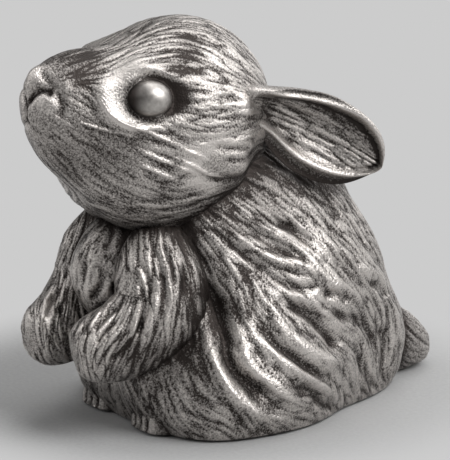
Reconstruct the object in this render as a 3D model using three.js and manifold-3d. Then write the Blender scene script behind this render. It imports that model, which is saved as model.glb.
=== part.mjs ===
// Pewter rabbit figurine, sitting up with its head raised and its ears laid back.
// Hollow body and head castings carry pegged ears, forelegs, hind feet and tail.
// A plate closes the body from below, and a felt pad is glued under the plate.
// Millimetres. +Z is up, the rabbit faces -Y, and its left side is +X.
// The origin is on the floor, under the middle of the rabbit's outline.
import * as THREE from "three";
import { mergeVertices } from "three/addons/utils/BufferGeometryUtils.js";
import Module from "manifold-3d";

const wasm = await Module();
wasm.setup();

// Walls, seams and pegs
const SEAM = 0.3; // gap at every soldered seam
const BODY_WALL = 2.6; // thickness of the body casting
const CAVITY_TOP = 18.5; // height that the body is hollow to
const HEAD_WALL = 2.8; // thickness of the head casting
const PEG = { radius: 1.1, length: 1.8, root: 1.2 }; // its root runs back inside its own piece
const FOOT_PEG = { radius: 0.8, length: 1.8, root: 0.6 };
const EAR_PEG = { radius: 0.9, length: 1.8, root: 1.0 };
const SPIGOT_RADIUS = 3.2; // tube under the head
const SPIGOT_BORE = 2.0; // radius of the drain hole through that tube
const SPIGOT_REACH = 5.5; // how far the tube reaches below the head's underside
const OVERCUT = 1; // how far a cutter runs past the face that it opens

// Closing plate and felt pad
const FELT_THICKNESS = 1.0;
const PLATE_THICKNESS = 1.2;
const RIM_WIDTH = 1.3; // metal left standing around the plate
const RIM_HEIGHT = 0.3; // height of that metal above the floor, which only the felt meets

// Main sizes
const HEAD_HEIGHT = 33.6; // height of the head's centre
const HEAD_FORWARD = 11.8; // how far that centre stands in front of the origin
const THIGH_OUTSIDE = 13.9; // from the middle plane to the outer side of a thigh's ellipsoid
const TOE_TIP = 16; // how far in front of the origin the hind toes end

// Body: soft union of ellipsoids, each with its centre and its half sizes along x, y and z.
// A form with an x stands on both sides of the middle plane.
const BODY_BLEND = 1.1; // how widely the ellipsoids run into each other
const NECK_END = 0.6; // how far below the head's centre the neck ends, inside the head's seat
const BODY_TOP = HEAD_HEIGHT - NECK_END;
const BODY_AXIS = { foot: 0.3, lean: -0.11 }; // y of the line through all sections, and its slope
const BELLY = { y: 2.9, z: 5.1, halfWidth: 11.5, halfLength: 18.8, halfHeight: 13.2 };
const BACK = { y: 4.7, z: 13.5, halfWidth: 11.1, halfLength: 13.3, halfHeight: 10.9 };
const CHEST = { y: -11.8, z: 17.2, halfWidth: 5.4, halfLength: 8.8, halfHeight: 7.0 };
const NAPE = { y: 2.7, z: 21.2, halfWidth: 8.7, halfLength: 10.9, halfHeight: 8.5 };
const NECK = { y: -3.2, drop: 8.1, halfWidth: 7.6, halfLength: 9.0, halfHeight: 8.6 };
const HAUNCH = { x: 6.9, y: -2.8, z: 4.6, halfWidth: 8.4, halfLength: 11.3, halfHeight: 9.6 };
const FLANK = { x: 5.6, y: -0.8, z: 12.0, halfWidth: 6.6, halfLength: 10.0, halfHeight: 8.0 };
const THIGH = { y: -8.4, z: 4.3, halfWidth: 5.1, halfLength: 5.2, halfHeight: 7.0 };
const KNEE = { x: 5.0, y: -12.6, z: 6.5, halfWidth: 4.0, halfLength: 4.3, halfHeight: 5.5 };
const SHOULDER = { x: 5.0, y: -5.2, z: 18.5, halfWidth: 4.6, halfLength: 6.2, halfHeight: 7.4 };
const BODY_FORMS = [
  BELLY,
  BACK,
  CHEST,
  NAPE,
  { ...NECK, z: HEAD_HEIGHT - NECK.drop },
  HAUNCH,
  FLANK,
  { ...THIGH, x: THIGH_OUTSIDE - THIGH.halfWidth },
  KNEE,
  SHOULDER,
];

// Fur on the body: broad locks cut by hand, the same on both sides. Each is drawn as the rabbit is
// seen from its left front and a little above. It has a height over the skin, below zero for
// a groove, a half width, and a line whose places are mm across and mm up on that drawing.
const DRAWING = { round: 57, raised: 15, distance: 420, aim: [0, -1.2, 19.6], foot: 18.9 };
const LOCKS = [
  // groove behind the foreleg
  { height: -1.25, halfWidth: 1.1,
    line: [[-2.6, 15.3], [-1.5, 11.1], [-0.3, 8], [0.4, 4.9], [1.6, 3], [3.9, 1], [5.6, -0.3]] },
  // upper groove of the haunch
  { height: -1.05, halfWidth: 0.75,
    line: [[6.6, 11], [9.2, 9.8], [10.9, 8.3], [12.2, 6.6], [12.8, 5.6]] },
  // lower groove of the haunch
  { height: -0.6, halfWidth: 0.65,
    line: [[3.7, 7.7], [5.7, 6.1], [7.5, 4.9], [8.8, 3.8], [10.3, 2.8], [12.2, 1.2]] },
  // groove near the floor
  { height: -0.75, halfWidth: 0.7,
    line: [[7.7, 1.4], [9.7, 0.9], [10.9, -0.2], [12.4, -1.8]] },
  // ridge of the thigh
  { height: 0.7, halfWidth: 1.0,
    line: [[-0.6, 7.6], [-1.2, 5.1], [-0.2, 2.4], [1.3, 0.4], [2.8, -1.1], [5.7, -2.2]] },
  // ridge behind the thigh
  { height: 0.6, halfWidth: 0.9,
    line: [[2.5, 6.3], [2, 4.7], [3.3, 2.8], [4.8, 1.8], [6.6, 0.6], [8.4, -1.1]] },
  // middle ridge of the haunch
  { height: 0.55, halfWidth: 0.8,
    line: [[2.6, 8.2], [4.8, 5.8], [6.8, 4], [8.4, 3], [10.3, 1.8], [12.6, -0.4]] },
  // upper ridge of the haunch
  { height: 0.6, halfWidth: 0.9,
    line: [[4.5, 12], [5.7, 9], [7.5, 6.9], [9.5, 5.2], [11.5, 4.2], [13.9, 4.4]] },
  // ridge of the flank
  { height: 0.55, halfWidth: 0.9,
    line: [[2.6, 17.7], [4.8, 15.9], [7.5, 15.1], [9.9, 14.4], [11.8, 13.2], [13.7, 11.7], [16.4, 10.2]] },
  // ridge from the back to the rump
  { height: 0.5, halfWidth: 0.9,
    line: [[9.2, 18.9], [10.6, 17.6], [12.7, 16.3], [14.7, 14.9], [16.7, 13.3], [17.7, 11.3],
      [18.8, 9], [19.5, 6.6], [19, 3.1]] },
  // ridge of the shoulder
  { height: 0.45, halfWidth: 0.7,
    line: [[5.3, 18.9], [6.8, 17.7], [9.2, 16.4], [11.2, 15.1]] },
];
const FADE = 0.2; // share of a line over which its lock fades out at each end
const FADED = 0.25; // share of its height that is left there
const EDGE_ON = 0.25; // locks fade out where the skin leans away from the view by less than this cosine
const FUR_FOOT = 2.5; // height that the locks reach their full size at

// Head: the same kind of form, in the head's own frame, whose nose points along -Y
const HEAD_PITCH = 18; // degrees that the nose is raised
const HEAD_BLEND = 1.2;
const HEAD_REACH = 22; // longer than the head in any direction from its centre
const SKULL = { y: 3.9, z: 0.8, halfWidth: 9.8, halfLength: 10.9, halfHeight: 11.4 };
const MUZZLE = { y: -9.1, z: -0.8, halfWidth: 4.1, halfLength: 5.8, halfHeight: 4.8 };
const BRIDGE = { y: -5.4, z: 1.8, halfWidth: 3.7, halfLength: 8.4, halfHeight: 4.4 };
const CHIN = { y: -5.8, z: -4.2, halfWidth: 4.0, halfLength: 5.9, halfHeight: 3.7 };
const CHEEK = { x: 2.8, y: 0.5, z: -4.2, halfWidth: 5.6, halfLength: 7.9, halfHeight: 7.3 };
const BROW = { x: 4.5, y: -0.7, z: 3.1, halfWidth: 3.6, halfLength: 6.1, halfHeight: 3.6 };
const HEAD_FORMS = [SKULL, MUZZLE, BRIDGE, CHIN, CHEEK, BROW];
const EYE = {
  toward: [0.793, -0.523, 0.314], // direction from the head's centre
  along: [0.5, 0.838, 0.215], // from its front corner to its back corner
  lean: [1, 0.75, 0.8], // how much of each part of that direction is left in the way that it looks
  length: 2.6, // radius along it
  height: 1.9, // radius across it
  bulge: 2.1, // radius outward
  sunk: 1.0, // how far its centre lies below the skin
};
// Eye socket: a raised oval ring, a floor inside it, and a moat around the eyeball. Widths and
// edges are shares of the ring's size, and the moat's are shares of the eye's.
const SOCKET = {
  length: 4.6, // half length of the ring
  height: 3.05,
  ring: 0.5, // height of the ring in front of the eye
  ringBehind: 0.15, // share of that height left behind the eye
  ringFalls: [-1.2, 2.2], // places along the eye between which it falls
  ringWidth: 0.17,
  floor: 0.3, // depth of the floor
  floorEdge: [0.05, 0.3],
  moat: 0.3, // depth of the moat in front of the eye
  moatBehind: 0.4, // how much deeper it is behind the eye
  moatDeepens: [-1, 2.4], // places along the eye between which it deepens
  moatTilt: 0.6, // how much more that counts for a place above the eye
  moatAt: 1.2,
  moatWidth: 0.27,
  radius: 6.5, // nothing of the socket reaches beyond this
};
const TEMPLE = { behind: 3.4, above: 0.5, halfLength: 1.7, halfHeight: 2.3, depth: 0.75 };
// Soft marks on both sides of the face: a height, below zero for a hollow, a radius and a centre
const FACE_MARKS = [
  { height: -0.6, radius: 0.75, centre: [1.9, -14.5, 0.7] }, // nostril
  { height: -0.35, radius: 0.7, centre: [0.6, -15, -1.2] }, // cleft of the lip
  { height: 0.3, radius: 1.2, centre: [2.3, -14.1, -0.6] }, // lip pad
  { height: 0.4, radius: 1.1, centre: [0, -14.7, 2.2] }, // tip of the nose
  { height: 0.25, radius: 0.8, centre: [3.2, -12.7, 1.9] }, // beside the nose
  { height: 0.3, radius: 2.0, centre: [4.7, -5.5, 6.4] }, // brow
  { height: 0.5, radius: 1.5, centre: [9.2, 6.0, 4.2] }, // in front of the ear
  { height: -0.5, radius: 1.4, centre: [9.9, 7.6, 2.6] }, // under the ear
];

// Ears: cupped leaves on a short stalk, in the head's own frame
const EAR = {
  toward: [0.65, 0.63, 0.4], // direction from the head's centre to the root
  axis: [0.25, 0.95, -0.21], // from root to tip
  facing: [0.88, -0.42, -0.2], // the way the hollow opens
  length: 16.2,
  halfWidth: 4.4,
  stalk: 0.3, // half width at the root, as a share of the widest
  cup: 3.0, // depth of the hollow
  hollowFrom: -0.05, // share of the length at which the hollow starts
  deepest: 0.8, // below 1, the hollow is deepest nearer the root
  wall: 1.1,
  stalkWall: 2.2, // thickness at the root
  flare: 0.55, // share of the length over which the stalk opens out
  rounding: 2.4, // how square the tip is: 2 is a round tip
  edge: 0.35, // how square the edge is: 1 is a sharp edge
  sunk: 0.22, // share of the length that starts inside the head
  buried: 0.04, // share of the length, inside the head, over which the root closes
};
// Rolled rim: a bead that stands out on both faces, and a groove inside it
const EAR_RIM = { bead: 0.5, beadAt: 0.4, beadWidth: 0.55, groove: 0.3, grooveAt: 1.35, grooveWidth: 0.4 };

// Forelegs: a limb from shoulder to paw, with its centre, half width and half depth at each point
const SHOULDER_JOINT = { x: 4.4, y: -12.8, z: 23.0, halfWidth: 3.4, halfDepth: 4.8 };
const UPPER_ARM = { x: 5.7, y: -13.2, z: 18.5, halfWidth: 4.2, halfDepth: 5.6 };
const ELBOW = { x: 6.6, y: -14.0, z: 13.8, halfWidth: 4.2, halfDepth: 5.3 };
const WRIST = { x: 5.8, y: -18.0, z: 10.6, halfWidth: 4.1, halfDepth: 4.8 };
const PAW = { x: 4.6, y: -23.6, z: 9.3, halfWidth: 4.0, halfDepth: 4.9 };
const FORELEG = [SHOULDER_JOINT, UPPER_ARM, ELBOW, WRIST, PAW];
const PAW_LIFT = { left: 0.85, right: 0 }; // how much higher a paw is held than those points say
const LIMB_ROUNDING = 0.5; // how blunt a limb's ends are: 1 is a round end, and less is blunter
const LIMB_TIP = 0.3; // how far each end stands beyond its last point
const FORELEG_PEG_HEIGHT = 14.5; // height of the shoulder peg

// Hind feet: low domes whose toes show in front of the knees
const FOOT = { x: 5.2, length: 9.0, halfWidth: 3.2, height: 3.4, pegHeight: 1.0 };

// Tail: a short cone of fur that lies on the floor behind the rump
const TAIL = { sunk: 4.4, length: 9.3, height: 9.6, halfWidth: 4.8, rootHeight: 4.8, tipHeight: 2.2 };
const TAIL_ROUNDING = 1.8; // how blunt the cone's tip is

// How finely each surface is divided
const BODY_GRID = { rows: 48, columns: 90 };
const HEAD_GRID = { rows: 40, columns: 54 };
const CLOSER = 0.4; // how much closer the head's rows and columns stand at the eyes, as a share
const CAVITY_GRID = { rows: 10, columns: 30 };
const EAR_GRID = { rows: 15, columns: 32 };
const LIMB_GRID = { rows: 16, columns: 20 };
const ROD_SIDES = 20;
const HALVINGS = 26; // steps that find a surface along a ray
const SLOPE_STEP = 0.01; // step over which the slope of a form is measured

const PEWTER = new THREE.MeshStandardMaterial({ color: 0x8d8a85, roughness: 0.42, metalness: 0.95 });
const PLATE_PEWTER = new THREE.MeshStandardMaterial({ color: 0x9b9893, roughness: 0.5, metalness: 0.95 });
const FELT = new THREE.MeshStandardMaterial({ color: 0x2b2c2d, roughness: 0.95, metalness: 0 });

// Roughly how far a point lies outside an ellipsoid whose centre is x, y and z away from it
function outsideOf({ halfWidth, halfLength, halfHeight }, x, y, z) {
  const q = [x / halfWidth, y / halfLength, z / halfHeight];
  const near = Math.hypot(...q);
  const steep = Math.hypot(q[0] / halfWidth, q[1] / halfLength, q[2] / halfHeight);
  return steep > 1e-9 ? (near * (near - 1)) / steep : -Math.min(halfWidth, halfLength, halfHeight);
}

// The soft union: below zero inside, above zero outside
function softUnion(forms, blend) {
  const placed = forms.flatMap((form) => {
    const side = form.x ?? 0;
    return side === 0 ? [{ form, side }] : [{ form, side }, { form, side: -side }];
  });
  return (x, y, z) => {
    let sum = 0;
    for (const { form, side } of placed) {
      sum += Math.exp(-outsideOf(form, x - side, y - form.y, z - form.z) / blend);
    }
    return -blend * Math.log(sum);
  };
}

// Where a ray from inside first stands the wanted distance outside a form, found by halving
function reach(field, from, way, most, level = 0) {
  let inside = 0;
  let outside = most;
  for (let i = 0; i < HALVINGS; i++) {
    const middle = (inside + outside) / 2;
    const value = field(from[0] + way[0] * middle, from[1] + way[1] * middle, from[2] + way[2] * middle);
    if (value < level) inside = middle;
    else outside = middle;
  }
  return inside;
}

// The outward normal of a form at a point, from its slope
function normalOf(field, [x, y, z]) {
  const step = SLOPE_STEP;
  return unit([
    field(x + step, y, z) - field(x - step, y, z),
    field(x, y + step, z) - field(x, y - step, z),
    field(x, y, z + step) - field(x, y, z - step),
  ]);
}

function unit(v) {
  const length = Math.hypot(...v);
  return v.map((c) => c / length);
}

function cross(a, b) {
  return [a[1] * b[2] - a[2] * b[1], a[2] * b[0] - a[0] * b[2], a[0] * b[1] - a[1] * b[0]];
}

function dot(a, b) {
  return a.reduce((sum, c, i) => sum + c * b[i], 0);
}

// A round-topped bump: 1 where the distance is 0, and nearly 0 beyond two widths
function bump(distance, width) {
  return Math.exp(-((distance / width) ** 2));
}

// A point moved from a start by one or more steps, each a direction and how far along it
function along(start, ...steps) {
  return start.map((s, i) => steps.reduce((sum, [way, much]) => sum + way[i] * much, s));
}

// A closed skin over rings of points, with one point closing each end
function skin(rings, first, last) {
  const columns = rings[0].length;
  const points = [first, ...rings.flat(), last];
  const index = [];
  const at = (row, column) => 1 + row * columns + (column % columns);
  for (let c = 0; c < columns; c++) {
    index.push(0, at(0, c + 1), at(0, c));
    index.push(points.length - 1, at(rings.length - 1, c), at(rings.length - 1, c + 1));
    for (let r = 0; r + 1 < rings.length; r++) {
      index.push(at(r, c), at(r, c + 1), at(r + 1, c));
      index.push(at(r, c + 1), at(r + 1, c + 1), at(r + 1, c));
    }
  }
  const geometry = new THREE.BufferGeometry();
  geometry.setAttribute("position", new THREE.Float32BufferAttribute(points.flat(), 3));
  geometry.setIndex(index);
  return geometry;
}

// A closed geometry as a solid, turned the right way out
function solidOf(geometry) {
  const bare = geometry.clone();
  bare.deleteAttribute("normal");
  bare.deleteAttribute("uv");
  const merged = mergeVertices(bare, 1e-4);
  const triVerts = new Uint32Array(merged.index.array);
  const vertProperties = merged.attributes.position.array;
  const made = new wasm.Manifold(new wasm.Mesh({ numProp: 3, vertProperties, triVerts }));
  if (made.volume() > 0) return made;
  for (let i = 1; i < triVerts.length; i += 3) {
    [triVerts[i], triVerts[i + 1]] = [triVerts[i + 1], triVerts[i]];
  }
  return new wasm.Manifold(new wasm.Mesh({ numProp: 3, vertProperties, triVerts }));
}

function geometryOf(solid) {
  const mesh = solid.getMesh();
  const geometry = new THREE.BufferGeometry();
  geometry.setAttribute("position", new THREE.BufferAttribute(Float32Array.from(mesh.vertProperties), 3));
  geometry.setIndex(new THREE.BufferAttribute(Uint32Array.from(mesh.triVerts), 1));
  geometry.computeVertexNormals();
  return geometry;
}

function meshOf(name, solid, material) {
  const mesh = new THREE.Mesh(geometryOf(solid), material);
  mesh.name = name;
  return mesh;
}

// A solid carried from a group's own frame to the frame that the group stands in
function inFrameOf(group, solid) {
  group.updateMatrix();
  return solidOf(geometryOf(solid).applyMatrix4(group.matrix));
}

// The largest body of a solid, without the crumbs that a cut can leave
function largest(solid) {
  return solid.decompose().reduce((a, b) => (b.volume() > a.volume() ? b : a));
}

// A round rod between two points
function rod(from, to, radius) {
  const way = new THREE.Vector3(...to).sub(new THREE.Vector3(...from));
  const cylinder = new THREE.CylinderGeometry(radius, radius, way.length(), ROD_SIDES);
  const turn = new THREE.Quaternion().setFromUnitVectors(new THREE.Vector3(0, 1, 0), way.clone().normalize());
  const middle = new THREE.Vector3(...from).addScaledVector(way, 0.5);
  return solidOf(cylinder.applyQuaternion(turn).translate(middle.x, middle.y, middle.z));
}

// The peg of a piece that is seated at a point, running into its carrier along a way
function pegAt(point, way, { radius, length, root }) {
  return rod(along(point, [way, -root - SEAM]), along(point, [way, length]), radius);
}

// The socket that takes that peg, open at the carrier's surface
function socketAt(point, way, { radius, length }) {
  const clear = length + SEAM;
  return rod(along(point, [way, -clear]), along(point, [way, clear]), radius + SEAM);
}

// Half-space below or above a height, as a broad block
function slab(low, high) {
  const size = 4 * BODY_TOP;
  return solidOf(new THREE.BoxGeometry(size, size, high - low).translate(0, 0, (low + high) / 2));
}

const bodyField = softUnion(BODY_FORMS, BODY_BLEND);
const headField = softUnion(HEAD_FORMS, HEAD_BLEND);

// Where the rays of the body's sections start at a height
function bodyAxis(z) {
  return [0, BODY_AXIS.foot + BODY_AXIS.lean * z, z];
}

function bodyPoint(z, angle, level = 0) {
  const from = bodyAxis(z);
  const way = [Math.sin(angle), -Math.cos(angle), 0];
  return along(from, [way, reach(bodyField, from, way, 2 * BODY_TOP, level)]);
}

// The drawing of the locks: the line of sight to it, and its two directions
const round = THREE.MathUtils.degToRad(DRAWING.round);
const raised = THREE.MathUtils.degToRad(DRAWING.raised);
const rightward = [Math.cos(round), Math.sin(round), 0];
const sight = [Math.sin(round) * Math.cos(raised), -Math.cos(round) * Math.cos(raised), Math.sin(raised)];
const upward = cross(sight, rightward);
const locks = LOCKS.map((lock) => {
  const places = lock.line.map(([s, t]) => new THREE.Vector2(s, t));
  return { ...lock, line: new THREE.SplineCurve(places).getPoints(4 * places.length) };
});

// Where a point shows on the drawing
function drawn(point) {
  const offset = point.map((c, i) => c - DRAWING.aim[i]);
  const nearer = DRAWING.distance / (DRAWING.distance - dot(offset, sight));
  return new THREE.Vector2(nearer * dot(offset, rightward), nearer * dot(offset, upward) + DRAWING.foot);
}

// Distance from a place on the drawing to a line, and the share of the line where it is nearest
function offLine(place, line) {
  let best = { away: Infinity, share: 0 };
  for (let i = 0; i + 1 < line.length; i++) {
    const span = line[i + 1].clone().sub(line[i]);
    const t = THREE.MathUtils.clamp(place.clone().sub(line[i]).dot(span) / span.lengthSq(), 0, 1);
    const away = place.distanceTo(line[i].clone().addScaledVector(span, t));
    if (away < best.away) best = { away, share: (i + t) / (line.length - 1) };
  }
  return best;
}

// Height of the locks at a point of the body's skin
function furRelief([x, y, z], normal) {
  const side = x < 0 ? -1 : 1;
  const place = drawn([side * x, y, z]);
  const facing = dot([side * normal[0], normal[1], normal[2]], sight);
  const turned = THREE.MathUtils.smoothstep(facing, 0, EDGE_ON);
  const shown = turned * THREE.MathUtils.smoothstep(z, RIM_HEIGHT, FUR_FOOT);
  return locks.reduce((sum, { height, halfWidth, line }) => {
    const { away, share } = offLine(place, line);
    const fade = THREE.MathUtils.smoothstep(Math.min(share, 1 - share), 0, FADE);
    return sum + shown * height * THREE.MathUtils.lerp(FADED, 1, fade) * bump(away, halfWidth);
  }, 0);
}

// The body's skin between two heights, moved outward by a level, as one section after another
function bodyRings(low, high, { rows, columns }, level = 0, relief = furRelief) {
  const at = (z, angle) => {
    const bare = bodyPoint(z, angle);
    const normal = normalOf(bodyField, bare);
    return along(bodyPoint(z, angle, level), [normal, relief(bare, normal)]);
  };
  return Array.from({ length: rows }, (_, row) => {
    const z = low + ((high - low) * row) / (rows - 1);
    return Array.from({ length: columns }, (_, c) => at(z, (2 * Math.PI * c) / columns));
  });
}

// A flat plate that follows the body's outline at the floor, drawn in by a margin
function footprint(low, high, margin, columns) {
  const outline = (z) =>
    Array.from({ length: columns }, (_, c) => {
      const [x, y] = bodyPoint(RIM_HEIGHT, (2 * Math.PI * c) / columns, -margin);
      return [x, y, z];
    });
  const [, y] = bodyAxis(RIM_HEIGHT);
  return solidOf(skin([outline(low), outline(high)], [0, y, low], [0, y, high]));
}

// The head's surface in a direction from its centre, without the eyes
function headPoint(way, level = 0) {
  return along([0, 0, 0], [way, reach(headField, [0, 0, 0], way, HEAD_REACH, level)]);
}

// Each eye's place on the skin, the way along it, the way across it and the way it looks
const eyes = [1, -1].map((side) => {
  const [x, y, z] = EYE.toward;
  const centre = headPoint(unit([side * x, y, z]));
  const [alongX, alongY, alongZ] = EYE.along;
  const way = unit([side * alongX, alongY, alongZ]);
  const leaning = centre.map((c, i) => c * EYE.lean[i]);
  const out = unit(along(leaning, [way, -dot(leaning, way)]));
  return { side, centre, way, up: cross(out, way).map((c) => side * c), out };
});

// Height of the face's carving at a point of the head's skin
function faceRelief(point) {
  return eyes.reduce((sum, { side, centre, way, up }) => {
    const offset = point.map((c, i) => c - centre[i]);
    const near = Math.exp(-((Math.hypot(...offset) / SOCKET.radius) ** 6));
    const [u, v] = [dot(offset, way), dot(offset, up)];
    const ringFall = THREE.MathUtils.smoothstep(u, ...SOCKET.ringFalls);
    const ringHeight = SOCKET.ring * THREE.MathUtils.lerp(1, SOCKET.ringBehind, ringFall);
    const behind = THREE.MathUtils.smoothstep(u + SOCKET.moatTilt * v, ...SOCKET.moatDeepens);
    const ring = Math.hypot(u / SOCKET.length, v / SOCKET.height);
    const lid = Math.hypot(u / EYE.length, v / EYE.height);
    const moat = SOCKET.moat + SOCKET.moatBehind * behind;
    const [back, above] = [u - TEMPLE.behind, v - TEMPLE.above];
    const temple = Math.hypot(back / TEMPLE.halfLength, above / TEMPLE.halfHeight);
    const raisedRing = ringHeight * bump(ring - 1, SOCKET.ringWidth);
    const sunkFloor = SOCKET.floor * THREE.MathUtils.smoothstep(1 - ring, ...SOCKET.floorEdge);
    const socket = raisedRing - sunkFloor - moat * bump(lid - SOCKET.moatAt, SOCKET.moatWidth);
    const marks = FACE_MARKS.reduce((height, mark) => {
      const [x, y, z] = mark.centre;
      const away = Math.hypot(side * point[0] - x, point[1] - y, point[2] - z);
      return height + mark.height * bump(away, mark.radius);
    }, 0);
    return sum + near * socket - near * TEMPLE.depth * Math.exp(-(temple ** 4)) + marks;
  }, 0);
}

// How far the eyes lie round from the nose, as an angle at the head's centre
const eyeFall = Math.acos(-unit(EYE.toward)[1]);

// The head's skin: meridians that run from the nose to the back of the skull, closest at the eyes
function headSkin({ rows, columns }, level = 0, relief = faceRelief) {
  const way = (row, column) => {
    const evenFall = (Math.PI * row) / (rows + 1);
    const fall = evenFall - (CLOSER / 2) * (Math.sin(2 * (evenFall - eyeFall)) + Math.sin(2 * eyeFall));
    const evenTurn = (2 * Math.PI * column) / columns;
    const turn = evenTurn + (CLOSER / 2) * Math.sin(2 * evenTurn);
    return [Math.sin(fall) * Math.sin(turn), -Math.cos(fall), Math.sin(fall) * Math.cos(turn)];
  };
  const at = (direction) => {
    const bare = headPoint(direction);
    return along(headPoint(direction, level), [normalOf(headField, bare), relief(bare)]);
  };
  const rings = Array.from({ length: rows }, (_, row) =>
    Array.from({ length: columns }, (_, column) => at(way(row + 1, column))),
  );
  return solidOf(skin(rings, at([0, -1, 0]), at([0, 1, 0])));
}

const figurine = new THREE.Group();
const head = new THREE.Group();
head.position.set(0, -HEAD_FORWARD, HEAD_HEIGHT);
head.rotation.x = THREE.MathUtils.degToRad(-HEAD_PITCH);

// Surfaces that the other pieces are cut to, each grown by the seam
const headSeat = headSkin(HEAD_GRID, SEAM);
const headInPlace = inFrameOf(head, headSeat);
const seatRings = bodyRings(RIM_HEIGHT, BODY_TOP, BODY_GRID, SEAM);
const below = seatRings[0].map(([x, y, z]) => [x, y, z - OVERCUT]);
const bodyCut = solidOf(skin([below, ...seatRings], bodyAxis(RIM_HEIGHT - OVERCUT), bodyAxis(BODY_TOP)));

// Ears

function earSolid(side) {
  const mirrored = ([x, y, z]) => unit([side * x, y, z]);
  const root = headPoint(mirrored(EAR.toward));
  const axis = mirrored(EAR.axis);
  const across = unit(cross(mirrored(EAR.facing), axis));
  const face = cross(axis, across);
  const { rows, columns } = EAR_GRID;
  const cupAt = (t) => {
    const share = Math.max(0, (t - EAR.hollowFrom) / (1 - EAR.hollowFrom));
    return EAR.cup * Math.sin(Math.PI * share ** EAR.deepest);
  };
  const ring = (row) => {
    const t = THREE.MathUtils.lerp(-EAR.sunk, 1, Math.sin((Math.PI / 2) * (row / (rows + 1))));
    const open = THREE.MathUtils.smoothstep(t, -EAR.sunk, EAR.flare);
    const taper = Math.sqrt(1 - Math.max(0, (t - EAR.flare) / (1 - EAR.flare)) ** EAR.rounding);
    const closing = Math.sqrt(THREE.MathUtils.smoothstep(t, -EAR.sunk, -EAR.buried));
    const half = EAR.halfWidth * THREE.MathUtils.lerp(EAR.stalk, 1, open) * taper * closing;
    const cup = cupAt(t);
    const wall = THREE.MathUtils.lerp(EAR.stalkWall, EAR.wall, open) * closing;
    const spine = along(root, [axis, EAR.length * t]);
    return Array.from({ length: columns }, (_, c) => {
      const turn = (2 * Math.PI * c) / columns;
      const v = Math.cos(turn);
      const front = Math.sign(Math.sin(turn)) * Math.abs(Math.sin(turn)) ** EAR.edge;
      const inward = (1 - Math.abs(v)) * half;
      const bead = EAR_RIM.bead * bump(inward - EAR_RIM.beadAt, EAR_RIM.beadWidth);
      const groove = front > 0 ? EAR_RIM.groove * bump(inward - EAR_RIM.grooveAt, EAR_RIM.grooveWidth) : 0;
      const lift = front * (wall / 2 + open * (bead - groove));
      return along(spine, [across, half * v], [face, cup * (v * v - 1) + lift]);
    });
  };
  const rings = Array.from({ length: rows }, (_, row) => ring(row + 1));
  const foot = along(root, [axis, -EAR.length * EAR.sunk]);
  const leaf = solidOf(skin(rings, foot, along(root, [axis, EAR.length])));
  return { leaf, seat: along(root, [face, -cupAt(0)]), inward: axis.map((c) => -c) };
}

const ears = { left: earSolid(1), right: earSolid(-1) };
for (const [side, ear] of Object.entries(ears)) {
  const cut = largest(ear.leaf.subtract(headSeat)).add(pegAt(ear.seat, ear.inward, EAR_PEG));
  figurine.add(meshOf(`ear_${side}`, largest(inFrameOf(head, cut).subtract(bodyCut)), PEWTER));
}

// Head casting, with its eyes, cored out through its spigot

function eyeSolid({ centre, way, up, out }) {
  const ball = new THREE.SphereGeometry(1, ROD_SIDES, ROD_SIDES / 2).scale(EYE.length, EYE.height, EYE.bulge);
  const sides = [way, up, out].map((v) => new THREE.Vector3(...v));
  const frame = new THREE.Matrix4().makeBasis(...sides);
  return solidOf(ball.applyMatrix4(frame).translate(...along(centre, [out, -EYE.sunk])));
}

const pitch = THREE.MathUtils.degToRad(HEAD_PITCH);
const downward = [0, Math.sin(pitch), -Math.cos(pitch)];
const spigotFoot = along(headPoint(downward), [downward, SPIGOT_REACH]);
let headSolid = headSkin(HEAD_GRID).add(rod([0, 0, 0], spigotFoot, SPIGOT_RADIUS));
for (const eye of eyes) headSolid = headSolid.add(eyeSolid(eye));
headSolid = headSolid
  .subtract(headSkin(CAVITY_GRID, -HEAD_WALL, () => 0))
  .subtract(rod([0, 0, 0], along(spigotFoot, [downward, OVERCUT]), SPIGOT_BORE));
for (const { seat, inward } of Object.values(ears)) {
  headSolid = headSolid.subtract(socketAt(seat, inward, EAR_PEG));
}
figurine.add(meshOf("head_casting", inFrameOf(head, headSolid), PEWTER));

// Forelegs, hind feet and tail, each cut to the body and pegged into it

function limbSolid(side, lift) {
  const lifted = (step) => (lift * Math.max(0, step - 1)) / (FORELEG.length - 2);
  const points = FORELEG.map(({ x, y, z }, step) => new THREE.Vector3(side * x, y, z + lifted(step)));
  const track = new THREE.CatmullRomCurve3(points);
  const { rows, columns } = LIMB_GRID;
  const between = (key, t) => {
    const place = t * (FORELEG.length - 1);
    const step = Math.min(FORELEG.length - 2, Math.floor(place));
    return THREE.MathUtils.lerp(FORELEG[step][key], FORELEG[step + 1][key], place - step);
  };
  const rings = Array.from({ length: rows }, (_, row) => {
    const fall = (Math.PI * (row + 1)) / (rows + 1);
    const t = (1 - Math.cos(fall)) / 2;
    const centre = track.getPoint(t).toArray();
    const way = track.getTangent(t).toArray();
    const outward = unit(along([side, 0, 0], [way, -side * way[0]]));
    const up = cross(outward, way);
    const swell = Math.sin(fall) ** LIMB_ROUNDING;
    return Array.from({ length: columns }, (_, c) => {
      const turn = (2 * Math.PI * c) / columns;
      const [wide, deep] = [between("halfWidth", t) * swell, between("halfDepth", t) * swell];
      return along(centre, [outward, wide * Math.cos(turn)], [up, deep * Math.sin(turn)]);
    });
  });
  const cap = (t, sign) => {
    const way = track.getTangent(t).toArray();
    return along(track.getPoint(t).toArray(), [way, sign * LIMB_TIP]);
  };
  return solidOf(skin(rings, cap(0, -1), cap(1, 1)));
}

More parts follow.
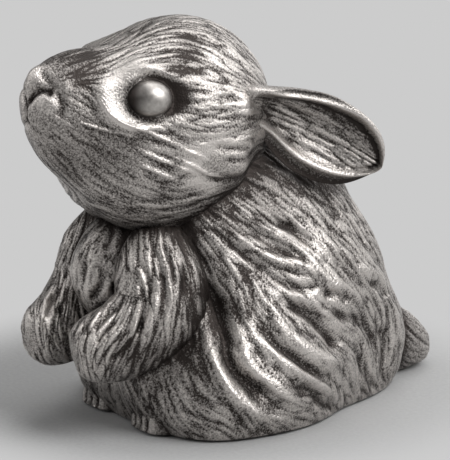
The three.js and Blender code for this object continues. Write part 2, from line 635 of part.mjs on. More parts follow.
function footSolid(side) {
  const { rows, columns } = LIMB_GRID;
  const middle = FOOT.length / 2 - TOE_TIP;
  const rings = Array.from({ length: rows }, (_, row) => {
    const fall = (Math.PI * (row + 1)) / (rows + 1);
    const swell = Math.sin(fall) ** LIMB_ROUNDING;
    return Array.from({ length: columns }, (_, c) => {
      const turn = (2 * Math.PI * c) / columns;
      const x = side * FOOT.x + FOOT.halfWidth * swell * Math.sin(turn);
      const z = RIM_HEIGHT + FOOT.height * swell * Math.cos(turn);
      return [x, middle - (FOOT.length / 2) * Math.cos(fall), z];
    });
  });
  const end = (y) => [side * FOOT.x, y, RIM_HEIGHT];
  const dome = solidOf(skin(rings, end(-TOE_TIP), end(FOOT.length - TOE_TIP)));
  return dome.intersect(slab(RIM_HEIGHT, BODY_TOP));
}

function tailSolid() {
  const { rows, columns } = LIMB_GRID;
  const root = BELLY.y + BELLY.halfLength - TAIL.sunk;
  const rings = Array.from({ length: rows }, (_, row) => {
    const t = row / rows;
    const swell = Math.sqrt(Math.max(0, 1 - t ** TAIL_ROUNDING));
    const rise = THREE.MathUtils.lerp(TAIL.rootHeight, TAIL.tipHeight, t);
    return Array.from({ length: columns }, (_, c) => {
      const turn = (2 * Math.PI * c) / columns;
      const x = TAIL.halfWidth * swell * Math.sin(turn);
      const z = rise + (TAIL.height / 2) * swell * Math.cos(turn);
      return [x, root + TAIL.length * t, z];
    });
  });
  const tip = [0, root + TAIL.length, TAIL.tipHeight];
  const cone = solidOf(skin(rings, [0, root, TAIL.rootHeight], tip));
  return cone.intersect(slab(RIM_HEIGHT, BODY_TOP));
}

// Direction around the body, from the chest towards the left flank, of a point on the plan
function angleOf(x, y, z) {
  const [, axisY] = bodyAxis(z);
  return Math.atan2(x, axisY - y);
}

const sockets = [];

// Cuts a piece to the body, pegs it in and adds it under its name
function seatOnBody(name, solid, { z, angle, peg }) {
  const point = bodyPoint(z, angle);
  const way = [-Math.sin(angle), Math.cos(angle), 0];
  sockets.push(socketAt(point, way, peg));
  const cut = largest(solid.subtract(bodyCut).subtract(headInPlace)).add(pegAt(point, way, peg));
  figurine.add(meshOf(name, largest(cut), PEWTER));
}

for (const [side, sign] of [["left", 1], ["right", -1]]) {
  const armAngle = angleOf(sign * UPPER_ARM.x, UPPER_ARM.y, UPPER_ARM.z);
  const footAngle = angleOf(sign * FOOT.x, -TOE_TIP, FOOT.pegHeight);
  const foreleg = limbSolid(sign, PAW_LIFT[side]);
  seatOnBody(`foreleg_${side}`, foreleg, { z: FORELEG_PEG_HEIGHT, angle: armAngle, peg: PEG });
  const footHeight = RIM_HEIGHT + FOOT.pegHeight;
  seatOnBody(`hind_foot_${side}`, footSolid(sign), { z: footHeight, angle: footAngle, peg: FOOT_PEG });
}
seatOnBody("tail", tailSolid(), { z: TAIL.rootHeight, angle: Math.PI, peg: PEG });

// Body casting: hollow from below, with a seat for the head and a socket for each peg

const plateTop = FELT_THICKNESS + PLATE_THICKNESS;
const spigotHole = inFrameOf(head, rod([0, 0, 0], along(spigotFoot, [downward, SEAM]), SPIGOT_RADIUS + SEAM));
const cavityRings = bodyRings(plateTop - SEAM, CAVITY_TOP, CAVITY_GRID, -BODY_WALL, () => 0);
const cavity = solidOf(skin(cavityRings, bodyAxis(plateTop - SEAM), bodyAxis(CAVITY_TOP)));
const bodyRows = bodyRings(RIM_HEIGHT, BODY_TOP, BODY_GRID);
let bodySolid = solidOf(skin(bodyRows, bodyAxis(RIM_HEIGHT), bodyAxis(BODY_TOP)))
  .subtract(headInPlace)
  .subtract(spigotHole)
  .subtract(cavity)
  .subtract(footprint(RIM_HEIGHT - OVERCUT, plateTop, RIM_WIDTH, BODY_GRID.columns));
for (const socket of sockets) bodySolid = bodySolid.subtract(socket);
figurine.add(meshOf("body_casting", largest(bodySolid), PEWTER));

const plateMargin = RIM_WIDTH + SEAM;
const plate = footprint(FELT_THICKNESS, plateTop, plateMargin, BODY_GRID.columns);
const felt = footprint(0, FELT_THICKNESS, plateMargin, BODY_GRID.columns);
figurine.add(meshOf("base_plate", plate, PLATE_PEWTER));
figurine.add(meshOf("felt_pad", felt, FELT));

export default figurine;
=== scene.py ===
import math

import bpy
import numpy as np
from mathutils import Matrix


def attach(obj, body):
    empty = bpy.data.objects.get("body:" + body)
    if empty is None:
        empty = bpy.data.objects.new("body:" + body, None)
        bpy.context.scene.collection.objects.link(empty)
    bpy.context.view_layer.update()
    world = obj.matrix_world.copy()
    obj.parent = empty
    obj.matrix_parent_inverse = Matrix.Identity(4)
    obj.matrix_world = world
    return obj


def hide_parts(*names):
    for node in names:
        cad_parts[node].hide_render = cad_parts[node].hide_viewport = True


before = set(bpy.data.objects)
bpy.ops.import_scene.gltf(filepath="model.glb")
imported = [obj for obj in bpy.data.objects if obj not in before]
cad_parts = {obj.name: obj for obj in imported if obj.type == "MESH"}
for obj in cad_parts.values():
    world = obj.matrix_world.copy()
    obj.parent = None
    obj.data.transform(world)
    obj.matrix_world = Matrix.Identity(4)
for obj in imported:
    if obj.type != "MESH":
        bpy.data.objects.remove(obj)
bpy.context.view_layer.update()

# Cast pewter rabbit: furred skins, ears, forelegs, feet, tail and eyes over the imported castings.
# Every shape is worked out in millimetres, with +Z up, the rabbit facing -Y and its left side at +X.

MILLIMETRE = 0.001
TAU = 2 * math.pi

# Sizes of the castings

RIM_WIDTH = 1.3  # metal left standing around the closing plate
RIM_HEIGHT = 0.3  # height of that metal above the floor
PLATE_TOP = 2.2
BODY_BLEND = 1.1  # how broadly the body's forms run into each other
BODY_REACH = 66.0  # further than the skin lies from the axis
AXIS_FOOT = 0.3  # where the body's axis meets the floor
AXIS_LEAN = -0.11  # what y gains along that axis for each millimetre up, so that it leans forward
HEAD_CENTRE = np.array([0.0, -11.8, 33.6])
HEAD_PITCH = math.radians(18)
HEAD_BLEND = 1.2
HEAD_REACH = 22.0
HALVINGS = 20  # steps that find a surface along a ray


def both_sides(centre, half_sizes):
    """A form and its mirror image across the middle plane."""
    x, y, z = centre
    return [((x, y, z), half_sizes), ((-x, y, z), half_sizes)]


# Each form is an ellipsoid: its centre, and its half sizes along x, y and z
BODY_FORMS = [
    ((0, 2.9, 5.1), (11.5, 18.8, 13.2)),  # belly
    ((0, 4.7, 13.5), (11.1, 13.3, 10.9)),  # back
    ((0, -11.8, 17.2), (5.4, 8.8, 7.0)),  # chest
    ((0, 2.7, 21.2), (8.7, 10.9, 8.5)),  # nape
    ((0, -3.2, 25.5), (7.6, 9.0, 8.6)),  # neck
    *both_sides((6.9, -2.8, 4.6), (8.4, 11.3, 9.6)),  # haunches
    *both_sides((5.6, -0.8, 12.0), (6.6, 10.0, 8.0)),  # flanks
    *both_sides((8.8, -8.4, 4.3), (5.1, 5.2, 7.0)),  # thighs
    *both_sides((5.0, -12.6, 6.5), (4.0, 4.3, 5.5)),  # knees
    *both_sides((5.0, -5.2, 18.5), (4.6, 6.2, 7.4)),  # shoulders
]
HEAD_FORMS = [
    ((0, 3.9, 0.8), (9.8, 10.9, 11.4)),  # skull
    ((0, -9.1, -0.8), (4.1, 5.8, 4.8)),  # muzzle
    ((0, -5.4, 1.8), (3.7, 8.4, 4.4)),  # bridge of the nose
    ((0, -5.8, -4.2), (4.0, 5.9, 3.7)),  # chin
    *both_sides((2.8, 0.5, -4.2), (5.6, 7.9, 7.3)),  # cheeks
    *both_sides((4.5, -0.7, 3.1), (3.6, 6.1, 3.6)),  # brows
]

# Shoulder joint, upper arm, elbow, wrist and paw, each with its half width and half depth
FORELEG = [
    ((4.4, -12.8, 23.0), 3.4, 4.8),
    ((5.7, -13.2, 18.5), 4.2, 5.6),
    ((6.6, -14.0, 13.8), 4.2, 5.3),
    ((5.8, -18.0, 10.6), 4.1, 4.8),
    ((4.6, -23.6, 9.3), 4.0, 4.9),
]
PAW_LIFT = {"left": 0.85, "right": 0.0}  # how much higher a paw is held than those points say
LIMB_ROUNDING = 0.5  # how blunt a limb's ends are: 1 is a round end, and less is blunter
SIDES = {"left": 1, "right": -1}


def unit(v):
    """A vector, or an array of them, made one long."""
    v = np.asarray(v, float)
    return v / np.maximum(np.linalg.norm(v, axis=-1, keepdims=True), 1e-9)


def dot(a, b):
    return np.sum(a * b, axis=-1, keepdims=True)


def rise(value, low, high):
    """A smooth step from 0 at low to 1 at high: with t the share of the way, t squared times (3 - 2t)."""
    t = np.clip((value - low) / (high - low), 0, 1)
    return t * t * (3 - 2 * t)


def bell(distance, width):
    """A round bump over a distance: exp(-(distance / width) squared)."""
    return np.exp(-((distance / width) ** 2))


# Line of sight that the fur is drawn along: 57 degrees round from the nose, 15 degrees up, from 420 mm away
ROUND = math.radians(57)
RAISED = math.radians(15)
SIGHT_DISTANCE = 420.0
SIGHT_AIM = np.array([0.0, -1.2, 19.6])
SIGHT = np.array([math.sin(ROUND) * math.cos(RAISED), -math.cos(ROUND) * math.cos(RAISED), math.sin(RAISED)])
ACROSS = np.array([math.cos(ROUND), math.sin(ROUND), 0.0])
UPWARD = np.cross(SIGHT, ACROSS)
DRAWING_FOOT = 18.9  # height of the aim above the drawing's own zero

# How the fur lies on each casting, drawn square to that line of sight: a place in mm, and a heading
BODY_LIE = [
    (-8.5, 17.2, 0.15, -1), (-8.5, 12.2, 0.12, -1), (-6.8, 8.9, -0.1, -1), (-5.2, 14.4, 0.3, -1),
    (-4.1, 17.8, 0.55, -0.8), (-1.3, 16.7, 0.7, -0.7), (1.5, 17.8, 0.75, -0.66), (4.8, 20, 0.85, -0.5),
    (8.2, 18.3, 0.8, -0.6), (11.5, 15.6, 0.78, -0.62), (14.3, 18.9, 0.55, -0.83), (15.4, 12.2, 0.6, -0.8),
    (17.6, 8.9, 0.3, -0.95), (18.7, 3.3, -0.15, -1), (8.2, 15, 0.95, -0.3), (10.4, 11.1, 0.8, -0.6),
    (13.7, 6.7, 0.6, -0.8), (16.5, 1.7, 0.1, -1), (1.5, 11.1, 0.55, -0.83), (5.9, 7.8, 0.6, -0.8),
    (9.3, 4.4, 0.8, -0.6), (12.6, 1.1, 0.65, -0.75), (-1.3, 11.1, 0.3, -0.95), (-0.7, 5.6, 0, -1),
    (0.9, 1.7, 0.55, -0.83), (3.7, 0, 0.75, -0.66), (8.2, -2.2, 0.9, -0.4), (-5.2, 6.7, 0.1, -1),
    (-4.6, 2.2, 0.25, -0.97), (-8.5, 2.2, 0.35, -0.94), (-6.8, -1.1, 0.6, -0.8), (-1.8, -2.8, 0.9, -0.4),
    (-11.8, 18.9, -0.1, -1), (-14.6, 16.7, -0.15, -1), (-15.7, 12.2, -0.05, -1), (-13, 13.3, -0.15, -1),
    (-3, 20, 0.8, -0.6), (0.4, 20.6, 0.85, -0.5), (10.4, 23.3, 0.75, -0.66), (13.2, 22.2, 0.6, -0.8),
]
HEAD_LIE = [
    (-20.2, 36.1, 0.8, 0.6), (-17.4, 38, 0.93, 0.36), (-14.1, 39.1, 0.93, 0.36), (-10.7, 40.2, 0.85, 0.5),
    (-7.4, 42.2, 0.93, 0.36), (-4.6, 42.7, 1, 0), (-1.3, 41.3, 0.82, -0.57), (1.5, 38.9, 0.65, -0.76),
    (3.9, 35.8, 0.6, -0.8), (-8.5, 38.9, 0.95, 0.3), (-4.1, 40, 0.98, -0.1), (-1.3, 37.8, 0.93, -0.35),
    (1.5, 35, 0.9, -0.4), (-11.8, 37.8, 0.93, 0.36), (-4.1, 35, 1, -0.1), (-1.3, 32.8, 1, 0),
    (1.5, 31.7, 1, 0.1), (-13.5, 36.7, 0.6, 0.8), (-13.6, 33.9, 0.2, -1), (-12.7, 31.7, 0.7, -0.7),
    (-10.7, 30.2, 0.9, -0.43), (-7.4, 28.9, 0.92, -0.4), (-4.1, 27.6, 0.95, -0.3), (-0.7, 28.9, 1, 0),
    (2, 28.9, 0.85, 0.5), (-6.3, 31.1, 0.97, -0.2), (-17.4, 32.2, 0.95, -0.3), (-15.2, 30, 0.92, -0.4),
    (-11.8, 27.8, 0.92, -0.4), (-7.4, 25.6, 0.97, -0.25), (-3, 25, 1, 0.1), (0.4, 26.1, 0.85, 0.5),
    (2.6, 27.2, 0.6, 0.8), (-19.6, 30.6, 0.75, -0.65), (-18.5, 27.8, 0.7, -0.7), (-15.7, 25.6, 0.75, -0.65),
    (-11.8, 23.3, 0.9, -0.43), (-7.4, 22.2, 1, -0.1), (-3, 22.8, 0.95, 0.3), (0.4, 23.6, 0.8, 0.6),
    (-21.8, 31.7, 0.25, -0.97), (-21.3, 28.9, 0.5, -0.87), (-19.6, 26.1, 0.65, -0.76),
    (-16.8, 22.8, 0.8, -0.6), (-13, 20.6, 0.93, -0.37), (-8.5, 19.4, 1, 0), (-4.1, 20, 0.95, 0.3),
]
NEAR_ARM_LIE = [
    (-8.5, 16.7, 0.1, -1), (-8.5, 12.2, 0.02, -1), (-8.7, 8.9, -0.15, -1), (-9.6, 6.1, -0.45, -0.9),
    (-6.3, 14.4, 0.2, -1), (-5.6, 11.1, 0, -1), (-6.5, 7.8, -0.25, -1), (-3.8, 15.3, 0.4, -0.9),
    (-3.4, 11.1, 0.05, -1), (-11.3, 11.1, -0.62, -0.78), (-13.5, 8.9, -0.68, -0.73), (-15.8, 8.7, -0.6, -0.8),
    (-16.1, 5.6, -0.1, -1), (-13.2, 6.1, -0.5, -0.87), (-11.2, 6.1, -0.45, -0.9), (-14.6, 3.6, 0.5, -0.87),
    (-12.4, 3.9, -0.3, -0.95),
]
FAR_ARM_LIE = [
    (-17.6, 17.2, -0.35, -0.94), (-19.6, 12.8, -0.4, -0.92), (-20.7, 9.4, -0.1, -1),
    (-21.1, 6.4, 0.25, -0.97), (-18.5, 11.1, 0.05, -1), (-18.3, 7.8, 0, -1), (-19.4, 5, 0.55, -0.83),
]

# Locks given one by one, on the same drawing: how far each rises or sinks, its half width, and its line
BODY_STROKES = [
    # valleys of the shoulder, the flank, the thigh and the rump
    (-0.85, 0.75, [(6.6, 11), (9.2, 9.8), (10.9, 8.3), (12.2, 6.6), (12.8, 5.6)]),
    (-0.45, 0.45, [(11, 11.9), (12.7, 11.7), (13.9, 10.8)]),
    (-0.5, 0.45, [(15.9, 13.3), (17.2, 12.3), (17.7, 11.3)]),
    (-0.3, 0.55, [(3.9, 14.2), (6.7, 12.9), (8.5, 12.4), (10.6, 12.4)]),
    (-0.35, 0.6, [(0.3, 17.8), (2.8, 15.7), (4.6, 14.3)]),
    (-0.35, 0.55, [(2.2, 19), (4.5, 18), (6.4, 16.7), (8.5, 15.9)]),
    (-0.35, 0.5, [(5.4, 20.1), (7.5, 19.1), (8.8, 18.2), (10, 17.1)]),
    (-1.0, 1.1, [(-2.6, 15.3), (-1.5, 11.1), (-0.3, 8), (0.4, 4.9), (1.6, 3), (3.9, 1), (5.6, -0.3)]),
    (-0.5, 0.6, [(3.7, 7.7), (5.7, 6.1), (7.5, 4.9), (8.8, 3.8), (10.3, 2.8), (12.2, 1.2)]),
    (-0.6, 0.7, [(7.7, 1.4), (9.7, 0.9), (10.9, -0.2), (12.4, -1.8)]),
    (-0.4, 0.5, [(11.5, 10.8), (13, 9.4), (14.6, 9), (15.8, 8), (16.7, 6.6), (17.3, 4.4)]),
    (-0.55, 0.55, [(17, 8.7), (17.8, 7), (18, 5.3), (17.8, 3.4), (17.4, 1.6)]),
    (-0.35, 0.5, [(14.5, 5.4), (15.5, 3.8), (16.3, 2.2), (16.8, 0.7)]),
    # ridges beside them
    (0.55, 1.0, [(-0.6, 7.6), (-1.2, 5.1), (-0.2, 2.4), (1.3, 0.4), (2.8, -1.1), (5.7, -2.2)]),
    (0.5, 0.9, [(2.5, 6.3), (2, 4.7), (3.3, 2.8), (4.8, 1.8), (6.6, 0.6), (8.4, -1.1)]),
    (0.45, 0.8, [(2.6, 8.2), (4.8, 5.8), (6.8, 4), (8.4, 3), (10.3, 1.8), (12.6, -0.4)]),
    (0.5, 0.9, [(4.5, 12), (5.7, 9), (7.5, 6.9), (9.5, 5.2), (11.5, 4.2), (13.9, 4.4)]),
    (0.45, 0.9, [(2.6, 17.7), (4.8, 15.9), (7.5, 15.1), (9.9, 14.4), (11.8, 13.2), (13.7, 11.7),
                 (16.4, 10.2)]),
    (0.4, 0.9, [(9.2, 18.9), (10.6, 17.6), (12.7, 16.3), (14.7, 14.9), (16.7, 13.3), (17.7, 11.3), (18.8, 9),
                (19.5, 6.6), (19, 3.1)]),
    (0.35, 0.7, [(5.3, 18.9), (6.8, 17.7), (9.2, 16.4), (11.2, 15.1)]),
    # valleys of the chest tuft, between the forelegs
    (-0.4, 0.4, [(-17.5, 15.4), (-17.6, 12), (-16.2, 10.3)]),
    (-0.4, 0.4, [(-13.7, 15.4), (-13.9, 12.7), (-15, 10.8)]),
    (-0.25, 0.28, [(-15.5, 15.4), (-16, 12.7)]),
    (-0.2, 0.28, [(-16.7, 15.1), (-16.5, 12.7)]),
    (-0.4, 0.4, [(-11.5, 16.1), (-11.7, 13.3), (-12.7, 11.7)]),
]
NEAR_ARM_STROKES = [
    (-0.4, 0.32, [(-9.5, 13.3), (-9.0, 10.9), (-9.8, 6.2)]),
    (-0.4, 0.32, [(-9.8, 15.7), (-8.7, 13.7), (-8.4, 12.3), (-8.6, 9.8), (-9.5, 7.6)]),
    (-0.3, 0.28, [(-7.8, 17.2), (-7.0, 14.2), (-6.5, 11.6), (-6.6, 9.8)]),
    (-0.3, 0.28, [(-7, 17.7), (-6, 15.1), (-5.5, 12.3)]),
    (-0.25, 0.3, [(-4.5, 15.1), (-4.2, 11.6)]),
    (0.25, 0.3, [(-12.2, 11.2), (-14.1, 9.3), (-15.5, 7.1)]),
    (-0.3, 0.28, [(-11.8, 9.1), (-13.4, 7.6), (-14.4, 5.9)]),
    (-0.3, 0.3, [(-11.4, 11.1), (-13.2, 9.1), (-14.8, 7.3)]),
    (-0.35, 0.35, [(-10.2, 7.1), (-11.6, 5.2), (-12.7, 4.4)]),
]
FAR_ARM_STROKES = [
    (-0.4, 0.35, [(-18.7, 12), (-19.2, 10.6), (-19.8, 9.1)]),
    (-0.3, 0.3, [(-18.3, 10.9), (-18, 9.3), (-18.1, 7.8)]),
    (0.25, 0.35, [(-19.6, 11.6), (-20.4, 9.8), (-20.7, 7.2)]),
]
HEAD_STROKES = [
    (0.26, 0.2, [(-12.9, 31.9), (-11.3, 30.9), (-8.5, 29.8), (-5.2, 28.2), (-1.8, 26.6)]),
    (0.2, 0.18, [(-16.4, 30.9), (-13.7, 30.1), (-11.3, 29.6), (-9.6, 29)]),
    (0.2, 0.17, [(-9.9, 28), (-7.6, 26.9), (-5.6, 26), (-3.5, 25.3)]),
    (0.2, 0.17, [(-9.6, 26.3), (-7.7, 25.4), (-5.1, 24.2)]),
    (0.18, 0.17, [(-5.9, 27), (-4, 26.2), (-2, 25.2), (0.5, 24.6)]),
    (-0.2, 0.3, [(-0.5, 33.8), (0.6, 33.7), (1.7, 33.3)]),
    (-0.3, 0.4, [(-1.3, 28), (1, 28), (2.8, 28.1)]),
    (-0.3, 0.4, [(-0.3, 26.7), (1.8, 27), (3.3, 27.8)]),
    (-0.3, 0.45, [(-2.4, 24.3), (-0.5, 24.6), (1.5, 25), (3.3, 26.3), (4.6, 27.4)]),
]

BODY_STROKE_DEPTH = 1.25  # how much deeper the body's strokes are cut than drawn

# Fur: the sizes of its coarse, medium and fine grains, how far each is drawn out along the lie, how high its
# locks stand, and how much brighter the medium and fine locks are rubbed. A heading of the lie counts over
# its spread, and the lie strays by random turns of a size.
BODY_FUR = {
    "sizes": (2.4, 0.8, 0.38), "reaches": (7.5, 4.5, 2.5),
    "heights": (0.14, 0.14, 0.12), "rubbing": (0.6, 1.5),
    "spread": 3.2, "stray_size": 4.0, "stray": 0.5, "stray_seed": 11, "seed": 21,
}
HEAD_FUR = {
    "sizes": (1.5, 0.75, 0.36), "reaches": (6.0, 5.0, 3.0),
    "heights": (0.07, 0.12, 0.12), "rubbing": (0.5, 1.6),
    "spread": 2.6, "stray_size": 3.0, "stray": 0.22, "stray_seed": 41, "seed": 51,
}
ARM_FUR = {
    "sizes": (1.6, 0.8, 0.38), "reaches": (7.0, 5.0, 2.5),
    "heights": (0.16, 0.18, 0.11), "rubbing": (1.1, 1.5),
    "spread": 2.4, "stray_size": 3.0, "stray": 0.3, "stray_seed": 71, "seed": 74,
}
FUR_FOOT = 1.6  # height at which the body's fur has its full relief
LIVELY = {"least": 0.4, "more": 1.2, "size": 4.0, "seed": 31}  # patches in which its locks stand higher

TRIAL_GRID = (60, 181)  # rings and columns that a grid's lengths are first measured on
# Rings and columns of each grid
BODY_GRID = (216, 458)
HEAD_GRID = (262, 372)
EAR_GRID = (190, 180)
LIMB_GRID = (210, 190)
FOOT_GRID = (90, 100)
TAIL_GRID = (110, 130)
EYE_GRID = (48, 64)

BODY_TOP = 30.5  # height of the body's last ring, inside the head
HEAD_POLE = 0.02  # angle from the line of the nose at which the head's rings begin and end
UNDERSIDE_WORN = 0.3
UNDERSIDE_DIRT = 0.5
LIMB_HALF_WIDTH = 3.9  # mean of a foreleg
LIMB_POINTS = 24  # points along its middle that distances are measured from
LIMB_TIP = 0.3  # how far each end stands beyond its last point

# Hind feet: low domes whose toes show in front of the knees
FOOT_X = 5.2
FOOT_MIDDLE = -11.0
FOOT_HALF_LENGTH = 4.7
FOOT_HALF_WIDTH = 3.8
FOOT_HEIGHT = 4.6
FOOT_WORN = 0.95
TOE_GROOVES = {"at": (-1.2, 0.0, 1.2), "width": 0.28, "depth": 0.45, "begin": (12.0, 14.0), "unworn": 0.8}
FOOT_SIDE_SHADE = {"tarnish_and_painted_light": 0.5, "begin": (1.9, 2.9)}  # painted shade on the foot's sides, beside the toes

# Tail: a short cone of fur that lies on the floor behind the rump
TAIL_ROOT_Y = 17.3
TAIL_LENGTH = 9.3
TAIL_ROOT_HEIGHT = 4.8
TAIL_TIP_HEIGHT = 2.2
TAIL_HALF_WIDTH = 4.8
TAIL_ROUNDING = 1.8
# Its fur: the cylinder that holds the grains, how it is stretched and swings, and its broad and thin locks
TAIL_FUR = {
    "radius": 4.0, "length": 12.0, "stretch": 6, "swing": 0.35, "swings": 4, "heights": (0.45, 0.2),
    "sizes": (1.15, 0.5), "seed": 83,
}

# Face, in the head's own frame
EYE_CENTRE = np.array([7.68, -5.07, 3.04])
EYE_ALONG = unit([0.5, 0.838, 0.215])  # from its front corner to its back corner
EYE_SIZE = (2.4, 2.0, 2.0)  # half length, half height and bulge
EYE_SUNK = 1.0
# Eye socket. Places are in mm along the eye, towards its back corner, and up across it. A ring is 1 on the
# socket's own oval, and a lid is 1 on the eyeball's outline.
SOCKET_SIZE = (4.6, 3.05)
SOCKET_AREA = 6.5  # the socket has faded out at this distance from the eye's middle
BEFORE_EYE = (-0.5, 2.0)  # distances to the front of the eye's middle between which its front part begins
# Raised ring, and the least share of its height, which it has behind the eye
RING = {"height": 0.5, "at": 1.0, "width": 0.15, "least": 0.15, "grows": (-2.2, 1.2)}
# Sunk floor inside the ring
FLOOR = {"depth": 0.35, "edge": 1.06, "slope": 0.3}
# Broad ridge before the eye, and the share of its height that it loses above the eye
RIDGE = {"height": 0.75, "foot": 0.62, "crest": 1.12, "end": 1.5, "lost": 0.75, "loses": (0.6, 2.6)}
# Sunk skin between that ridge and the eyeball
LID_FLOOR = {"depth": 0.35, "edge": 1.25, "slope": 0.2}
# Trench round the eyeball, and how much deeper it is behind the eye and above it
TRENCH = {"depth": 0.15, "more": 0.25, "at": 1.2, "width": 0.2, "tilt": 0.6, "deepens": (-1.0, 2.4)}
# Hollow of the temple
TEMPLE = {"depth": 0.4, "middle": (3.4, 0.5), "size": (1.7, 2.3)}
# Fur and tarnish of the face
BARE = {"size": (3.6, 2.6), "more": (1.6, 0.8)}  # oval round each eye without fur, and how it grows before it
EYE_RIDGE_HIGHLIGHT = {"at": 0.98, "width": 0.22, "tarnish_and_painted_light": 0.5, "worn": 0.3}  # painted highlight on the ridge before each eye: how much less tarnish and how much more brightness it gets
CLEAN = {"size": (4.8, 3.4), "share": 0.9, "tilt": 0.8, "ends": (-0.6, 2.2)}  # socket without tarnish
NOSE_FUR = {"least": 0.1, "grows": (-14.3, -10.5)}  # places along y between which the fur sets in
FACE_FUR = {"least": 0.6, "grows": (-9.0, 2.0)}  # and between which it grows strong
CALM_CHEEK = {"share": 0.75, "middle": (6.0, -7.5, -3.5), "spread": 50.0}  # spread in square mm
FACE_LINE_POINTS = 16  # points along a carved line that distances are measured from
# Carved lines of the face: depth, half width and line, on both sides
FACE_LINES = [
    # nostril
    (0.65, 0.42, [(2.4, -14.1, 0.75), (1.7, -14.6, 0.8), (1.05, -14.95, 0.25), (0.55, -15.05, -0.5)]),
    # cleft of the lip
    (0.3, 0.35, [(0.55, -15.05, -0.5), (0.15, -15.05, -1.3), (0.0, -14.85, -2.2), (0.0, -14.6, -3.0)]),
    # round the nose pad
    (0.26, 0.5, [(0.9, -14.5, 2.4), (2.7, -13.8, 1.2), (3.6, -12.8, -0.3), (3.55, -12.75, -1.1)]),
    # mouth
    (0.22, 0.35, [(0.1, -14.5, -2.9), (1.3, -13.7, -3.5), (2.5, -12.4, -3.7)]),
]
# Swellings of the face: height, radius and centre, on both sides
FACE_SWELLINGS = [
    (0.25, 1.2, (2.3, -14.1, -0.6)),  # lip pad
    (0.3, 1.0, (0.0, -15.1, 0.6)),  # tip of the nose
    (0.4, 1.1, (0.0, -14.7, 2.2)),  # nose pad
    (0.25, 0.8, (3.2, -12.7, 1.9)),  # beside the nose
    (0.3, 2.0, (4.7, -5.5, 6.4)),  # brow
    (0.5, 1.5, (9.2, 6.0, 4.2)),  # in front of the ear
    (0.9, 2.8, (9.3, 7.4, -1.4)),  # back of the cheek
]
# Tarnish and painted light on the head: how much darker each mark makes the metal, less than 0 for lighter,
# its radius and its centre, on both sides
HEAD_TARNISH_AND_PAINTED_LIGHT = [
    (0.75, 3.6, (1.6, -10.3, 4.7)),  # painted shade on the bridge of the nose
    (0.4, 1.6, (3.6, -11.0, 2.7)),  # painted shade beside it
    (0.35, 1.8, (5.0, -0.2, 9.8)),  # above the eye
    (0.5, 2.0, (6.8, -0.8, 7.8)),  # further back
    (0.25, 3.5, (6.0, -8.5, -3.5)),  # cheek
    (0.4, 3.5, (2.0, -10.5, -6.3)),  # painted shade on the chin
    (0.4, 1.0, (9.3, 8.0, 2.6)),  # painted shadow under the ear
    (0.55, 1.9, (8.8, -1.3, 4.2)),  # behind the eye
    (0.45, 1.2, (7.3, -3.0, 6.2)),  # over its back corner
    (-0.6, 1.3, (4.7, -8.6, 2.3)),  # painted highlight in front of the eye
    (-0.6, 1.3, (4.2, -7.8, 4.5)),  # and above that
    (-0.6, 1.8, (4.0, -5.8, 6.5)),  # painted highlight on the brow
    (-0.4, 1.0, (6.8, -5.9, -0.7)),  # lighter under the eye
    (-0.45, 1.8, (9.5, 2.4, 4.3)),  # painted highlight on the temple
    (-0.5, 1.8, (9.2, 6.0, 4.4)),  # lighter at the root of the ear
    (-0.5, 1.8, (8.5, 7.2, 5.8)),  # and above that
    (-0.3, 3.0, (9.9, 3.6, -1.2)),  # painted reflection on the back of the cheek
    (-0.45, 1.0, (0.2, -14.7, 2.0)),  # painted highlight on the nose pad
    (-0.6, 1.0, (2.6, -14.1, -0.4)),  # painted highlight beside the nostril
]
# Tarnish and painted light on the body, in mm on the drawing: how much darker each mark makes the metal, less
# than 0 for lighter, its radius and its centre
BODY_TARNISH_AND_PAINTED_LIGHT = [
    (0.5, 2.2, (0.0, 11.0)),  # behind the upper arm
    (0.4, 3.5, (-3.0, 4.4)),  # behind the forearm
    (0.35, 3.0, (-8.5, 0.0)),  # knee
    (0.6, 3.0, (7.5, 25.0)),  # painted shadow on the nape, under the ear
    (0.7, 1.6, (9.5, 25.2)),  # painted shadow, deepest under the ear's root
    (0.6, 1.5, (12.0, 23.8)),  # painted shadow under the ear's lower edge
    (0.5, 1.6, (-1.2, 8.0)),  # behind the elbow
    (0.45, 1.6, (2.8, 10.0)),  # front of the flank
    (0.4, 1.6, (0.5, 19.0)),  # painted shade on the shoulder, under the cheek
    (0.35, 1.5, (2.8, 13.6)),  # side of the shoulder
    (-0.5, 2.5, (12.0, 12.8)),  # painted highlight on the flank
    (-0.25, 3.0, (4.5, 3.0)),  # lighter on the thigh
    (-0.3, 2.0, (16.5, 11.8)),  # painted highlight on the rump
]
# The same on the forelegs
ARM_TARNISH_AND_PAINTED_LIGHT = [
    (0.5, 2.0, (-4.2, 17.8)),  # painted shade on the top of the upper arm, under the head
    (0.3, 4.0, (-6.0, 13.0)),  # all of the upper arm
    (0.45, 1.4, (-2.6, 12.0)),  # its back edge
    (0.5, 1.6, (-2.6, 8.5)),  # elbow
    (0.5, 1.2, (-7.6, 5.8)),  # painted shade under the forearm
    (0.5, 2.5, (-10.5, 4.8)),  # painted shade under the paw
    (-0.35, 1.5, (-8.6, 13.0)),  # painted highlight on the front of the upper arm
    (-0.35, 1.6, (-20.6, 8.0)),  # painted highlight on the far paw
]

